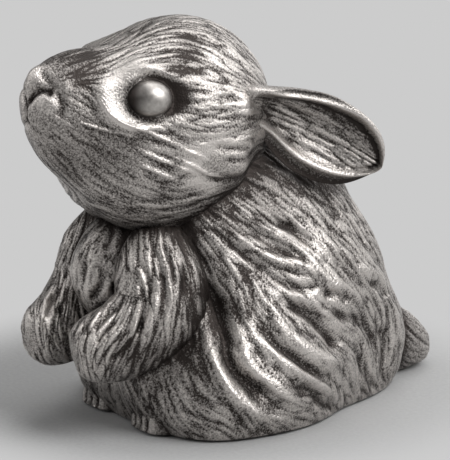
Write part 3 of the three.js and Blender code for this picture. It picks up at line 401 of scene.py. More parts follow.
# Ears, in the head's own frame
EAR_ROOT_WAY = unit([0.65, 0.63, 0.4])  # from the head's centre to the root
EAR_AXIS = unit([0.25, 0.95, -0.21])  # from the root to the tip
EAR_FACING = unit([0.88, -0.42, -0.2])  # the way the hollow opens
EAR_LENGTH = 16.2
EAR_HALF_WIDTH = 4.4
EAR_STALK = 0.3  # half width at the root, as a share of the widest
EAR_CUP = 3.0  # depth of the hollow
EAR_HOLLOW_FROM = -0.05  # share of the length at which the hollow starts
EAR_DEEPEST = 0.8  # below 1, the hollow is deepest nearer the root
EAR_WALL = 1.1
EAR_STALK_WALL = 2.2  # thickness at the root
EAR_FLARE = 0.55  # share of the length over which the stalk opens out
EAR_ROUNDING = 2.4  # how square the tip is: 2 is a round tip
EAR_EDGE = 0.35  # how blunt the edge is: 1 is an oval, and less is blunter
EAR_SUNK = 0.22  # share of the length that starts inside the head
EAR_CLOSED = -0.04  # share of the length at which the buried end has its full width
EAR_BEAD = 0.5  # how much the rim stands out on each face
EAR_BEAD_WIDTH = 0.55
EAR_RIM_AT = 0.4  # distance of the rim from the edge, where no margin rolls back
EAR_RIM_STARTS = (-0.14, 0.1)  # shares of the length between which the rim sets in
EAR_GROOVE = {"depth": 0.3, "at": 0.95, "width": 0.4}  # inside the rim
# Margins that roll back outside the rim: how much further in the rim lies there, and how strongly they roll
EAR_MARGIN = (0.3, 0.9)  # shares of the half width between which a margin begins
LOWER_MARGIN = {"inset": 1.5, "roll": 1.2, "begins": (0.0, 0.3), "width": (0.2, 3.0), "widening": 0.2}
UPPER_MARGIN = {"inset": 0.6, "roll": 0.8, "begins": (0.0, 0.2), "ends": (0.4, 0.75)}
ROLL_DEPTH = 0.9
# Lip of the lower rim, which carries a painted highlight: where it begins along the ear, and how much of the
# groove it fills
LIP = {"begins": (0.35, 0.6), "fills": 0.8, "at": 0.9, "width": 0.7, "rubbed_and_highlit": 0.5}
# Hairs of the ear: their heights on each face, and how closely they lie across it, along it and between faces
EAR_HAIR = {"inside": 0.3, "outside": 0.15, "pattern": (1.9, 0.22, 1), "seed": 61, "rubbing": 0.9}
EAR_FINE_HAIR = {"inside": 0.12, "outside": 0.08, "pattern": (4.2, 0.6, 1), "seed": 63, "rubbing": 1.2}
# Tarnish and painted light of the ear: painted shade on the upper half of the hollow and a painted highlight
# on its lower half, darker in the groove with more painted shade in its upper part, painted shade on the
# outside below, darker on the rolled margins
EAR_TARNISH_AND_PAINTED_LIGHT = {"hollow": 0.55, "groove": 0.6, "groove_upper_shade": 0.2, "outside": 0.7, "margins": 0.8}
EAR_RIM_RUBBED = 0.6


def soft_union(forms, blend, points):
    """How far points lie outside forms that run into each other.

    For each ellipsoid, q is the offset from its centre over its half sizes, and the distance is
    |q| (|q| - 1) over the length of q over the half sizes. The result is minus the blend times
    the log of the sum of exp(-distance / blend) over the ellipsoids.
    """
    total = 0.0
    for centre, half_sizes in forms:
        q = (points - np.array(centre)) / np.array(half_sizes)
        near = np.linalg.norm(q, axis=-1)
        steep = np.linalg.norm(q / np.array(half_sizes), axis=-1)
        total = total + np.exp(-near * (near - 1) / np.maximum(steep, 1e-9) / blend)
    return -blend * np.log(total)


def off_body(points):
    return soft_union(BODY_FORMS, BODY_BLEND, points)


def off_head(points):
    """How far points of the head's own frame lie outside the head."""
    return soft_union(HEAD_FORMS, HEAD_BLEND, points)


def reach(field, start, way, most, level=0.0):
    """How far a ray runs from inside a form until it stands at a level outside it, by halving the span."""
    inside = np.zeros(way.shape[:-1])
    outside = np.full(way.shape[:-1], most)
    for _ in range(HALVINGS):
        middle = (inside + outside) / 2
        short = field(start + way * middle[..., None]) < level
        inside = np.where(short, middle, inside)
        outside = np.where(short, outside, middle)
    return inside


def pitched(points, sign=1):
    """Points turned about x by the head's pitch, nose up for sign 1 and back for sign -1."""
    c, s = math.cos(HEAD_PITCH), -sign * math.sin(HEAD_PITCH)
    x, y, z = np.moveaxis(points, -1, 0)
    return np.stack([x, c * y - s * z, s * y + c * z], axis=-1)


def from_head(points):
    """Points of the head's own frame, carried to where the head stands."""
    return pitched(points) + HEAD_CENTRE


def to_head(points):
    return pitched(points - HEAD_CENTRE, -1)


def evened(values, lengths, count):
    """Values at equal steps of length, from values with the length of each step between them."""
    run = np.concatenate([[0], np.cumsum(lengths)])
    return np.interp(np.linspace(0, run[-1], count), run, values)


def spread_evenly(surface, rows, columns, row_range, column_range):
    """Row and column values that space a surface's grid evenly over its mean length both ways."""
    coarse_rows, coarse_columns = (np.linspace(*r, n) for r, n in zip((row_range, column_range), TRIAL_GRID))
    coarse = surface(coarse_rows, coarse_columns)
    down = np.linalg.norm(np.diff(coarse, axis=0), axis=-1).mean(axis=1)
    around = np.linalg.norm(np.diff(coarse, axis=1), axis=-1).mean(axis=0)
    return evened(coarse_rows, down, rows), evened(coarse_columns, around, columns + 1)[:-1]


def track(points, share):
    """Places along a smooth line through points, at shares of the way from the first to the last.

    Each span is the cubic that runs through its two ends, with the slopes of a Catmull-Rom curve whose
    knots lie a square root of the span's length apart.
    """
    points = np.asarray(points, float)
    led = np.vstack([2 * points[0] - points[1], points, 2 * points[-1] - points[-2]])
    place = np.clip(share, 0, 1) * (len(points) - 1)
    step = np.minimum(place.astype(int), len(points) - 2)
    part = (place - step)[:, None]
    a, b, c, d = (led[step + i] for i in range(4))
    knots = [np.sqrt(np.linalg.norm(q - p, axis=1, keepdims=True)) for p, q in ((a, b), (b, c), (c, d))]
    first = ((b - a) / knots[0] - (c - a) / (knots[0] + knots[1]) + (c - b) / knots[1]) * knots[1]
    last = ((c - b) / knots[1] - (d - b) / (knots[1] + knots[2]) + (d - c) / knots[2]) * knots[1]
    square = 3 * (c - b) - 2 * first - last
    return b + first * part + square * part**2 + (2 * (b - c) + first + last) * part**3


SPANS_PER_POINT = 6  # straight spans of a stroke for each of its points


def off_line(points, line):
    """Distance from points to a line of straight spans, and the share of the line where it is nearest."""
    best = np.full(points.shape[:-1], np.inf)
    share = np.zeros(points.shape[:-1])
    for i in range(len(line) - 1):
        span = line[i + 1] - line[i]
        t = np.clip(((points - line[i]) @ span) / (span @ span), 0, 1)
        away = np.linalg.norm(points - line[i] - t[..., None] * span, axis=-1)
        nearer = away < best
        best = np.where(nearer, away, best)
        share = np.where(nearer, (i + t) / (len(line) - 1), share)
    return best, share


def stroked(places, strokes):
    """Height that listed strokes give to places.

    Each adds its rise times exp(-(distance / half width) squared). It fades to a quarter over the last fifth
    of its length at both ends, and is left out where it is further off than three half widths.
    """
    flat = places.reshape(-1, places.shape[-1])
    height = np.zeros(len(flat))
    for much, width, line in strokes:
        fine = track(line, np.linspace(0, 1, SPANS_PER_POINT * len(line)))
        low, high = fine.min(axis=0) - 3 * width, fine.max(axis=0) + 3 * width
        near = np.all((flat > low) & (flat < high), axis=1)
        away, share = off_line(flat[near], fine)
        fade = rise(np.minimum(share, 1 - share), 0, 0.2) * 0.75 + 0.25
        height[near] += much * fade * bell(away, width)
    return height.reshape(places.shape[:-1])


def drawn_from(points):
    """Where points show on the drawing: in mm across and up from its zero, in true perspective."""
    offset = points - SIGHT_AIM
    nearer = SIGHT_DISTANCE / (SIGHT_DISTANCE - offset @ SIGHT)
    return np.stack([offset @ ACROSS * nearer, offset @ UPWARD * nearer + DRAWING_FOOT], axis=-1)


NUMBER_BITS = 16  # the lattice's corners share two to this power of random numbers
SCATTER = np.array([73856093, 19349663, 83492791])  # large primes


def grain(points, size, seed):
    """Random values from 0 to 1 that change smoothly over a size.

    There is a number for each corner of a cubic lattice, and each point blends those of the eight corners
    around it with smooth-step weights. A corner's number is looked up by its three places times the scatter.
    """
    numbers = np.random.default_rng(seed).random(1 << NUMBER_BITS)
    cell = np.floor(points / size)
    part = points / size - cell
    part = part * part * (3 - 2 * part)
    cell = cell.astype(np.int64)
    total = 0.0
    for corner in np.ndindex(2, 2, 2):
        x, y, z = np.moveaxis((cell + np.array(corner)) * SCATTER, -1, 0)
        weight = np.prod(np.where(corner, part, 1 - part), axis=-1)
        total = total + weight * numbers[(x ^ y ^ z) & ((1 << NUMBER_BITS) - 1)]
    return total


def slopes(grid):
    """How a grid of points moves for one step down its rows, and for one step around its columns."""
    return np.gradient(grid, axis=0), (np.roll(grid, -1, axis=1) - np.roll(grid, 1, axis=1)) / 2


def outward(grid):
    """Unit normals of a grid: the cross product of its two slopes, turned away from the grid's middle."""
    down, around = slopes(grid)
    normal = unit(np.cross(down, around))
    away = grid - grid.mean(axis=(0, 1))
    return normal * np.sign(np.sum(normal * away))


def between(values, row, column):
    """Values between grid points, weighted over the four around each; columns run round and rows stop."""
    rows, columns = values.shape[:2]
    row = np.clip(row, 0, rows - 1.001)
    r = row.astype(np.int64)
    c = np.floor(column).astype(np.int64)
    down = (row - r)[..., None]
    side = (column - c)[..., None]
    flat = values.reshape(rows * columns, -1)
    this, other = c % columns, (c + 1) % columns
    upper = flat[r * columns + this] * (1 - side) + flat[r * columns + other] * side
    lower = flat[(r + 1) * columns + this] * (1 - side) + flat[(r + 1) * columns + other] * side
    return upper * (1 - down) + lower * down


MOST_CELLS = 40  # grid steps that a millimetre along the lie may take, where the grid is crowded


def combed(grid, lie, grains, reaches, step=0.25):
    """Grains drawn out into strokes along the lie of the fur, one pattern for each of the grains.

    From every grid point a path is followed both ways in steps of equal length along the surface. The
    grains met on the way are summed with weights that fall as a cosine to the pattern's reach. The lie is
    turned into grid steps by the surface's two slopes. Each pattern ends with mean 0 and deviation 1.
    """
    down, around = slopes(grid)
    e, f, g = dot(down, down), dot(down, around), dot(around, around)
    p, q = dot(lie, down), dot(lie, around)
    area = np.maximum(e * g - f * f, 1e-9)
    steps = np.concatenate([(g * p - f * q) / area, (e * q - f * p) / area], axis=-1)
    steps = np.clip(steps, -MOST_CELLS, MOST_CELLS) * step
    values = np.stack(grains, axis=-1)
    everything = np.concatenate([steps, values], axis=-1)
    start_row, start_column = np.meshgrid(*(np.arange(n, dtype=float) for n in grid.shape[:2]), indexing="ij")
    total = values.copy()
    reaches = np.array(reaches, float)
    for sign in (1, -1):
        row, column = start_row, start_column
        here = steps
        for i in range(1, int(reaches.max() / step) + 1):
            row = row + sign * here[..., 0]
            column = column + sign * here[..., 1]
            met = between(everything, row, column)
            here = met[..., :2]
            share = np.minimum(i * step / reaches, 1)
            total += met[..., 2:] * (1 + np.cos(math.pi * share)) / 2
    mean = total.mean(axis=(0, 1))
    return np.moveaxis((total - mean) / total.std(axis=(0, 1)), -1, 0)


def locks(pattern, sharpness=0.6):
    """Rounded locks parted by sharp valleys where a pattern crosses 0: 1 - exp(-|pattern| / sharpness), less
    its mean."""
    shape = 1 - np.exp(-np.abs(pattern) / sharpness)
    return shape - shape.mean()


def smoothed(values, cells):
    """Values averaged over a square of grid points on each side, by running sums; columns run round."""
    span = 2 * cells + 1
    for axis, mode in ((0, "edge"), (1, "wrap")):
        wide = np.pad(values, [(cells + 1, cells) if a == axis else (0, 0) for a in (0, 1)], mode=mode)
        run = np.cumsum(wide, axis=axis)
        upto = np.take(run, range(span, run.shape[axis]), axis)
        before = np.take(run, range(run.shape[axis] - span), axis)
        values = (upto - before) / span
    return values


def worn(height, cells, scale, hair=0.0):
    """How bright the metal is rubbed, from 0 in the valleys to 1 on the ridges: a half plus half the
    hyperbolic tangent of the height above the smoothed height, over a scale, plus the share of the hairs."""
    return 0.5 + 0.5 * np.tanh((height - smoothed(height, cells)) / scale + hair)


def crease_tarnish_and_shade(distance, width=1.2):
    """How dark a crease against a neighbour is made, as tarnish and painted shade: exp(-distance / width)."""
    return np.exp(-np.maximum(distance, 0) / width)


EDGE_ON = 0.3  # cosine of the angle to the line of sight beyond which a surface is nearly edge-on
MIDDLE_WIDTH = 3.0  # distance from the middle plane over which the lie takes its sideways lean


def fur_lie(points, normals, hints, spread, plain, mirrored=True):
    """Which way the fur lies at points.

    The hints' headings on the drawing are weighted by exp(-(distance / spread) squared) and laid on the
    surface along the line of sight. A plain direction takes over where the surface turns away from that line.
    The right side mirrors the left, and the middle has no sideways lean.
    """
    flip = near_side(points) if mirrored else np.ones_like(points)
    places = drawn_from(points * flip)
    normals = normals * flip
    hints = np.array(hints, float)
    heading = 0.0
    for x, y, dx, dy in hints:
        away = np.sum((places - (x, y)) ** 2, axis=-1, keepdims=True)
        heading = heading + (np.exp(-away / spread**2) + 1e-6) * unit([dx, dy])
    heading = unit(heading)
    flat = heading[..., :1] * ACROSS + heading[..., 1:] * UPWARD
    facing = normals @ SIGHT
    laid = flat - SIGHT * dot(flat, normals) / np.maximum(facing, EDGE_ON)[..., None]
    seen = rise(facing, 0.0, EDGE_ON)[..., None]
    lie = unit(laid) * seen + np.asarray(plain) * (1 - seen)
    lie = lie - normals * dot(lie, normals)
    lie = lie * flip
    if mirrored:
        lie[..., 0] *= rise(np.abs(points[..., 0]), 0.0, MIDDLE_WIDTH)
    return unit(lie)


def near_side(points):
    """Factors that mirror points of the right side to the left one, which the drawing shows."""
    flip = np.ones_like(points)
    flip[..., 0] = np.where(points[..., 0] < 0, -1.0, 1.0)
    return flip


def carved(points, normals, strokes, mirrored=True):
    """Height of listed strokes on a surface, fading out where it turns away from the line of sight."""
    flip = near_side(points) if mirrored else np.ones_like(points)
    facing = rise((normals * flip) @ SIGHT, 0.0, 0.25)
    return stroked(drawn_from(points * flip), strokes) * facing


def combed_fur(grid, normal, points, hints, plain, fur, mirrored=True):
    """The coarse, medium and fine locks of a casting, drawn out along the lie of its fur.

    The grid and its normals are where the casting stands, and the points are its own, which hold the grains.
    """
    lie = fur_lie(grid, normal, hints, fur["spread"], plain, mirrored)
    lie = wandering(lie, normal, points, fur["stray_size"], fur["stray"], fur["stray_seed"])
    grains = [grain(points, size, fur["seed"] + i) for i, size in enumerate(fur["sizes"])]
    return [locks(pattern) for pattern in combed(grid, lie, grains, fur["reaches"])]


def spots(places, marks):
    """The sum of round marks on places: each is its amount times exp(-(distance / radius) squared)."""
    total = 0.0
    for much, radius, centre in marks:
        away = np.sum((places - np.array(centre)) ** 2, axis=-1)
        total = total + much * np.exp(-away / radius**2)
    return total


def wandering(lie, normals, points, size, much, seed):
    """A lie that strays a little from its line, by smooth random turns of a size."""
    stray = np.stack([grain(points, size, seed + i) - 0.5 for i in range(3)], axis=-1)
    return unit(lie + much * (stray - normals * dot(stray, normals)))


def mesh_piece(name, grid, first, last, attributes=None):
    """A closed mesh over rings of points: two triangles in each cell, and a fan to one point at each end.
    The triangles are turned the other way round if the volume they enclose comes out negative."""
    rows, columns = grid.shape[:2]
    points = np.vstack([grid.reshape(-1, 3), [first, last]])
    index = np.arange(rows * columns).reshape(rows, columns)
    beside = np.roll(index, -1, axis=1)
    a, b, c, d = index[:-1], beside[:-1], beside[1:], index[1:]
    cells = np.concatenate([np.stack([a, b, c], -1).reshape(-1, 3), np.stack([a, c, d], -1).reshape(-1, 3)])
    start = np.stack([np.full(columns, rows * columns), beside[0], index[0]], -1)
    finish = np.stack([np.full(columns, rows * columns + 1), index[-1], beside[-1]], -1)
    faces = np.concatenate([cells, start, finish])
    p, q, r = (points[faces[:, i]] for i in range(3))
    if np.sum(p * np.cross(q, r)) < 0:
        faces = faces[:, ::-1]
    mesh = bpy.data.meshes.new(name)
    mesh.vertices.add(len(points))
    mesh.vertices.foreach_set("co", (points * MILLIMETRE).ravel())
    mesh.loops.add(faces.size)
    mesh.loops.foreach_set("vertex_index", faces.ravel())
    mesh.polygons.add(len(faces))
    mesh.polygons.foreach_set("loop_start", np.arange(0, faces.size, 3))
    mesh.update(calc_edges=True)
    mesh.validate()
    mesh.shade_smooth()
    for key, values in (attributes or {}).items():
        full = np.concatenate([values.ravel(), [values[0].mean(), values[-1].mean()]])
        mesh.attributes.new(key, "FLOAT", "POINT").data.foreach_set("value", full.astype(np.float32))
    piece = bpy.data.objects.new(name, mesh)
    bpy.context.scene.collection.objects.link(piece)
    return piece


# Body

def body_skin(heights, turns, level=0.0):
    """The body at each height and turn: a ray runs level from the leaning axis, sin(turn) to the left and
    cos(turn) to the front, until it leaves the forms."""
    z, turn = np.meshgrid(heights, turns, indexing="ij")
    start = np.stack([np.zeros_like(z), AXIS_FOOT + AXIS_LEAN * z, z], axis=-1)
    way = np.stack([np.sin(turn), -np.cos(turn), np.zeros_like(z)], axis=-1)
    return start + way * reach(off_body, start, way, BODY_REACH, level)[..., None]


def limb_line(side):
    """Points down the middle of a foreleg, lifted in equal steps from the upper arm to the paw."""
    lift = PAW_LIFT[side] * np.maximum(0, np.arange(len(FORELEG)) - 1) / (len(FORELEG) - 2)
    points = np.array([p for p, _, _ in FORELEG]) * (SIDES[side], 1, 1)
    points[:, 2] += lift
    return points


def off_limb(points, side):
    """Rough distance outside a foreleg: the distance to its middle line, less its mean half width."""
    away, _ = off_line(points, track(limb_line(side), np.linspace(0, 1, LIMB_POINTS)))
    return away - LIMB_HALF_WIDTH


def body_piece():
    """The furred body: rings of skin from the floor to the neck, lifted along their normals by strokes and
    fur, which fade out towards the floor. Below, the skin turns in by the rim's width and runs up to the
    plate."""
    heights, turns = spread_evenly(body_skin, *BODY_GRID, (RIM_HEIGHT, BODY_TOP), (0, TAU))
    skin = body_skin(heights, turns)
    normal = outward(skin)
    coarse, medium, fine = combed_fur(skin, normal, skin, BODY_LIE, unit([0, 0.45, -0.9]), BODY_FUR)
    lively = LIVELY["least"] + LIVELY["more"] * grain(skin, LIVELY["size"], LIVELY["seed"])
    coarse_height, medium_height, fine_height = BODY_FUR["heights"]
    height = BODY_STROKE_DEPTH * carved(skin, normal, BODY_STROKES) + coarse_height * lively * coarse
    height += medium_height * lively * medium + fine_height * fine
    height *= rise(skin[..., 2], RIM_HEIGHT, FUR_FOOT)
    medium_rubbing, fine_rubbing = BODY_FUR["rubbing"]
    hair = medium_rubbing * medium + fine_rubbing * fine
    # tarnish and painted shade in the creases under the head and beside the forelegs, then the body's marks:
    # painted shadow under the ear, painted shade, painted highlights and tarnish
    beside = np.minimum(off_limb(skin, "left"), off_limb(skin, "right"))
    tarnish_and_painted_light = np.maximum(crease_tarnish_and_shade(off_head(to_head(skin)), width=1.8), crease_tarnish_and_shade(beside, width=1.0))
    tarnish_and_painted_light = tarnish_and_painted_light + spots(drawn_from(skin * near_side(skin)), BODY_TARNISH_AND_PAINTED_LIGHT)
    shaped = skin + normal * height[..., None]
    turned_in = body_skin([RIM_HEIGHT], turns, -RIM_WIDTH)
    deep = turned_in + (0, 0, PLATE_TOP - RIM_HEIGHT)
    rows = np.vstack([deep, turned_in, shaped])
    underside = np.zeros((2, len(turns)))
    attributes = {
        "worn": np.vstack([underside + UNDERSIDE_WORN, worn(height, cells=6, scale=0.3, hair=hair)]),
        "tarnish_and_painted_light": np.vstack([underside + UNDERSIDE_DIRT, tarnish_and_painted_light]),
    }
    foot = (0, AXIS_FOOT, PLATE_TOP)
    top = (0, AXIS_FOOT + AXIS_LEAN * heights[-1], heights[-1])
    return mesh_piece("furred_body", rows, foot, top, attributes)


# Head

def head_skin(falls, turns):
    """The head without its detail: a ray leaves the centre at an angle of fall from the nose and a turn about
    that line, and runs until it leaves the forms."""
    fall, turn = np.meshgrid(falls, turns, indexing="ij")
    way = np.stack([np.sin(fall) * np.sin(turn), -np.cos(fall), np.sin(fall) * np.cos(turn)], axis=-1)
    return way * reach(off_head, np.zeros(3), way, HEAD_REACH)[..., None]


def eye_frame(side):
    """The eye's centre on the skin, and the ways to its back corner, up across it and out of it."""
    mirror = np.array([side, 1, 1])
    centre = EYE_CENTRE * mirror
    along = EYE_ALONG * mirror
    out = unit(centre * (1, 0.75, 0.8) - along * (centre * (1, 0.75, 0.8) @ along))
    up = np.cross(out, along) * side
    return centre, along, up * np.sign(up[2]), out


def around_eye(points, side):
    """Places round an eye: u along it and v up across it, how they count for its ring and its lid, how far
    they lie in its front part, and their distance from its middle."""
    centre, along, up, _ = eye_frame(side)
    offset = points - centre
    u, v = offset @ along, offset @ up
    ring = np.hypot(u / SOCKET_SIZE[0], v / SOCKET_SIZE[1])
    lid = np.hypot(u / EYE_SIZE[0], v / EYE_SIZE[1])
    return u, v, ring, lid, rise(-u, *BEFORE_EYE), np.linalg.norm(offset, axis=-1)


def face_relief(points):
    """Height of the face's carving over the bare head.

    Over and behind each eye, a narrow ring stands on the socket's oval, lower towards the back, and the
    floor is sunk inside it. Before the eye, a broad ridge stands in its place, lower above the eye, and the
    skin is sunk closely round the eyeball. A trench runs round the eyeball, deepest behind and above it, and
    a hollow lies on the temple. Then come the carved lines and the swellings.
    """
    height = np.zeros(points.shape[:-1])
    for side in (1, -1):
        u, v, ring, lid, before, away = around_eye(points, side)
        near = np.exp(-((away / SOCKET_AREA) ** 6))
        front = RING["least"] + (1 - RING["least"]) * rise(-u, *RING["grows"])
        height += near * front * RING["height"] * (1 - before) * bell(ring - RING["at"], RING["width"])
        floor = np.clip((FLOOR["edge"] - ring) / FLOOR["slope"], 0, 1)
        height -= near * FLOOR["depth"] * (1 - before) * floor
        low = 1 - RIDGE["lost"] * rise(v, *RIDGE["loses"])
        ridge = rise(ring, RIDGE["foot"], RIDGE["crest"]) * (1 - rise(ring, RIDGE["crest"], RIDGE["end"]))
        height += near * RIDGE["height"] * low * before * ridge
        lid_floor = np.clip((LID_FLOOR["edge"] - lid) / LID_FLOOR["slope"], 0, 1)
        height -= near * LID_FLOOR["depth"] * before * lid_floor
        behind = rise(u + TRENCH["tilt"] * v, *TRENCH["deepens"])
        trench = bell(lid - TRENCH["at"], TRENCH["width"])
        height -= near * (TRENCH["depth"] + TRENCH["more"] * behind) * trench
        (middle_u, middle_v), (long, tall) = TEMPLE["middle"], TEMPLE["size"]
        height -= TEMPLE["depth"] * np.exp(-(np.hypot((u - middle_u) / long, (v - middle_v) / tall) ** 4))
        mirror = np.array([side, 1, 1])
        for depth, width, line in FACE_LINES:
            curve = track(np.array(line) * mirror, np.linspace(0, 1, FACE_LINE_POINTS))
            from_line, _ = off_line(points, curve)
            height -= depth * bell(from_line, width)
        height += spots(points * mirror, FACE_SWELLINGS)
    return height


def head_piece():
    """The furred head: rings of skin round the line of the nose, lifted along their normals by the face's
    carving, by strokes and by fur. The fur is left out round the eyes and all but left out on the nose, and
    it is weaker on the face and on the cheek. The ridge before each eye gets a painted highlight."""
    falls, turns = spread_evenly(head_skin, *HEAD_GRID, (HEAD_POLE, math.pi - HEAD_POLE), (0, TAU))
    skin = head_skin(falls, turns)
    normal = outward(skin)
    placed = from_head(skin)
    placed_normal = pitched(normal)
    plain = unit([0, 0.8, -0.6])
    coarse, medium, fine = combed_fur(placed, placed_normal, skin, HEAD_LIE, plain, HEAD_FUR)
    bare = np.ones(skin.shape[:2])
    clean = np.ones(skin.shape[:2])
    rubbed_and_highlit = np.zeros(skin.shape[:2])
    for side in (1, -1):
        u, v, ring, _, before, _ = around_eye(skin, side)
        long, tall = (size + more * before for size, more in zip(BARE["size"], BARE["more"]))
        bare *= 1 - np.exp(-(np.hypot(u / long, v / tall) ** 4))
        # painted highlight along the ridge before each eye
        rubbed_and_highlit += before * bell(ring - EYE_RIDGE_HIGHLIGHT["at"], EYE_RIDGE_HIGHLIGHT["width"])
        socket = np.exp(-(np.hypot(u / CLEAN["size"][0], v / CLEAN["size"][1]) ** 6))
        clean *= 1 - CLEAN["share"] * socket * (1 - rise(u + CLEAN["tilt"] * v, *CLEAN["ends"]))
    furred = (NOSE_FUR["least"] + (1 - NOSE_FUR["least"]) * rise(skin[..., 1], *NOSE_FUR["grows"])) * bare
    strong = FACE_FUR["least"] + (1 - FACE_FUR["least"]) * rise(skin[..., 1], *FACE_FUR["grows"])
    from_cheek = np.sum((skin * near_side(skin) - CALM_CHEEK["middle"]) ** 2, axis=-1)
    calm = 1 - CALM_CHEEK["share"] * np.exp(-from_cheek / CALM_CHEEK["spread"])
    coarse_height, medium_height, fine_height = HEAD_FUR["heights"]
    fur = coarse_height * strong * coarse + medium_height * strong * medium + fine_height * fine
    relief = face_relief(skin)
    height = relief + carved(placed, placed_normal, HEAD_STROKES) + calm * furred * fur
    medium_rubbing, fine_rubbing = HEAD_FUR["rubbing"]
    hair = calm * furred * (medium_rubbing * strong * medium + fine_rubbing * fine)
    shaped = from_head(skin + normal * height[..., None])
    # tarnish gathers where the carving is sunk by 0.2 mm or more, and all of it from 0.8 mm
    sunk = 0.9 * clean * rise(-relief, 0.2, 0.8)
    # tarnish and painted shade where the head meets the body, the head's marks of tarnish and painted light,
    # and the painted highlight on the ridge before each eye, which also brightens it
    tarnish_and_painted_light = np.maximum(crease_tarnish_and_shade(off_body(placed), width=1.5), sunk)
    tarnish_and_painted_light = tarnish_and_painted_light + spots(skin * near_side(skin), HEAD_TARNISH_AND_PAINTED_LIGHT) - EYE_RIDGE_HIGHLIGHT["tarnish_and_painted_light"] * rubbed_and_highlit
    brightness = worn(height, cells=5, scale=0.2, hair=hair) + EYE_RIDGE_HIGHLIGHT["worn"] * rubbed_and_highlit
    attributes = {"worn": np.clip(brightness, 0, 1), "tarnish_and_painted_light": tarnish_and_painted_light}
    poles = head_skin(np.array([0.0, math.pi]), np.zeros(1))[:, 0]
    return mesh_piece("furred_head", shaped, from_head(poles[0]), from_head(poles[1]), attributes)


def eye_piece(side):
    """A polished eye: an ellipsoid with a half length along the lids, a half height across them and a bulge,
    sunk under the skin. Its fall runs from the front corner, which is painted dark as shade, to the back
    corner."""
    centre, along, up, out = eye_frame(SIDES[side])
    rows, columns = EYE_GRID
    fall = np.linspace(0, math.pi, rows + 2)[1:-1, None, None]
    turn = np.linspace(0, TAU, columns, endpoint=False)[None, :, None]
    length, tall, bulge = EYE_SIZE
    middle = centre - out * EYE_SUNK
    ball = middle - along * length * np.cos(fall)
    ball = ball + np.sin(fall) * (up * tall * np.cos(turn) + out * bulge * np.sin(turn))
    ends = from_head(middle - along * length), from_head(middle + along * length)
    # painted shade over the eye's front part, darkest at the front corner
    tarnish_and_painted_light = 1 - rise(-np.cos(fall[..., 0]) + 0 * turn[..., 0], -0.75, 0.1)
    return mesh_piece(f"polished_eye_{side}", from_head(ball), *ends, {"tarnish_and_painted_light": tarnish_and_painted_light})


# Ears

def ear_margins(upward, t, half):
    """Where the ear's margins roll back: along its lower edge, and along its upper edge near the root."""
    lower = rise(-upward, *EAR_MARGIN) * rise(t, *LOWER_MARGIN["begins"]) * rise(half, *LOWER_MARGIN["width"])
    near_root = (1 - rise(t, *UPPER_MARGIN["ends"])) * rise(t, *UPPER_MARGIN["begins"])
    return lower, rise(upward, *EAR_MARGIN) * near_root


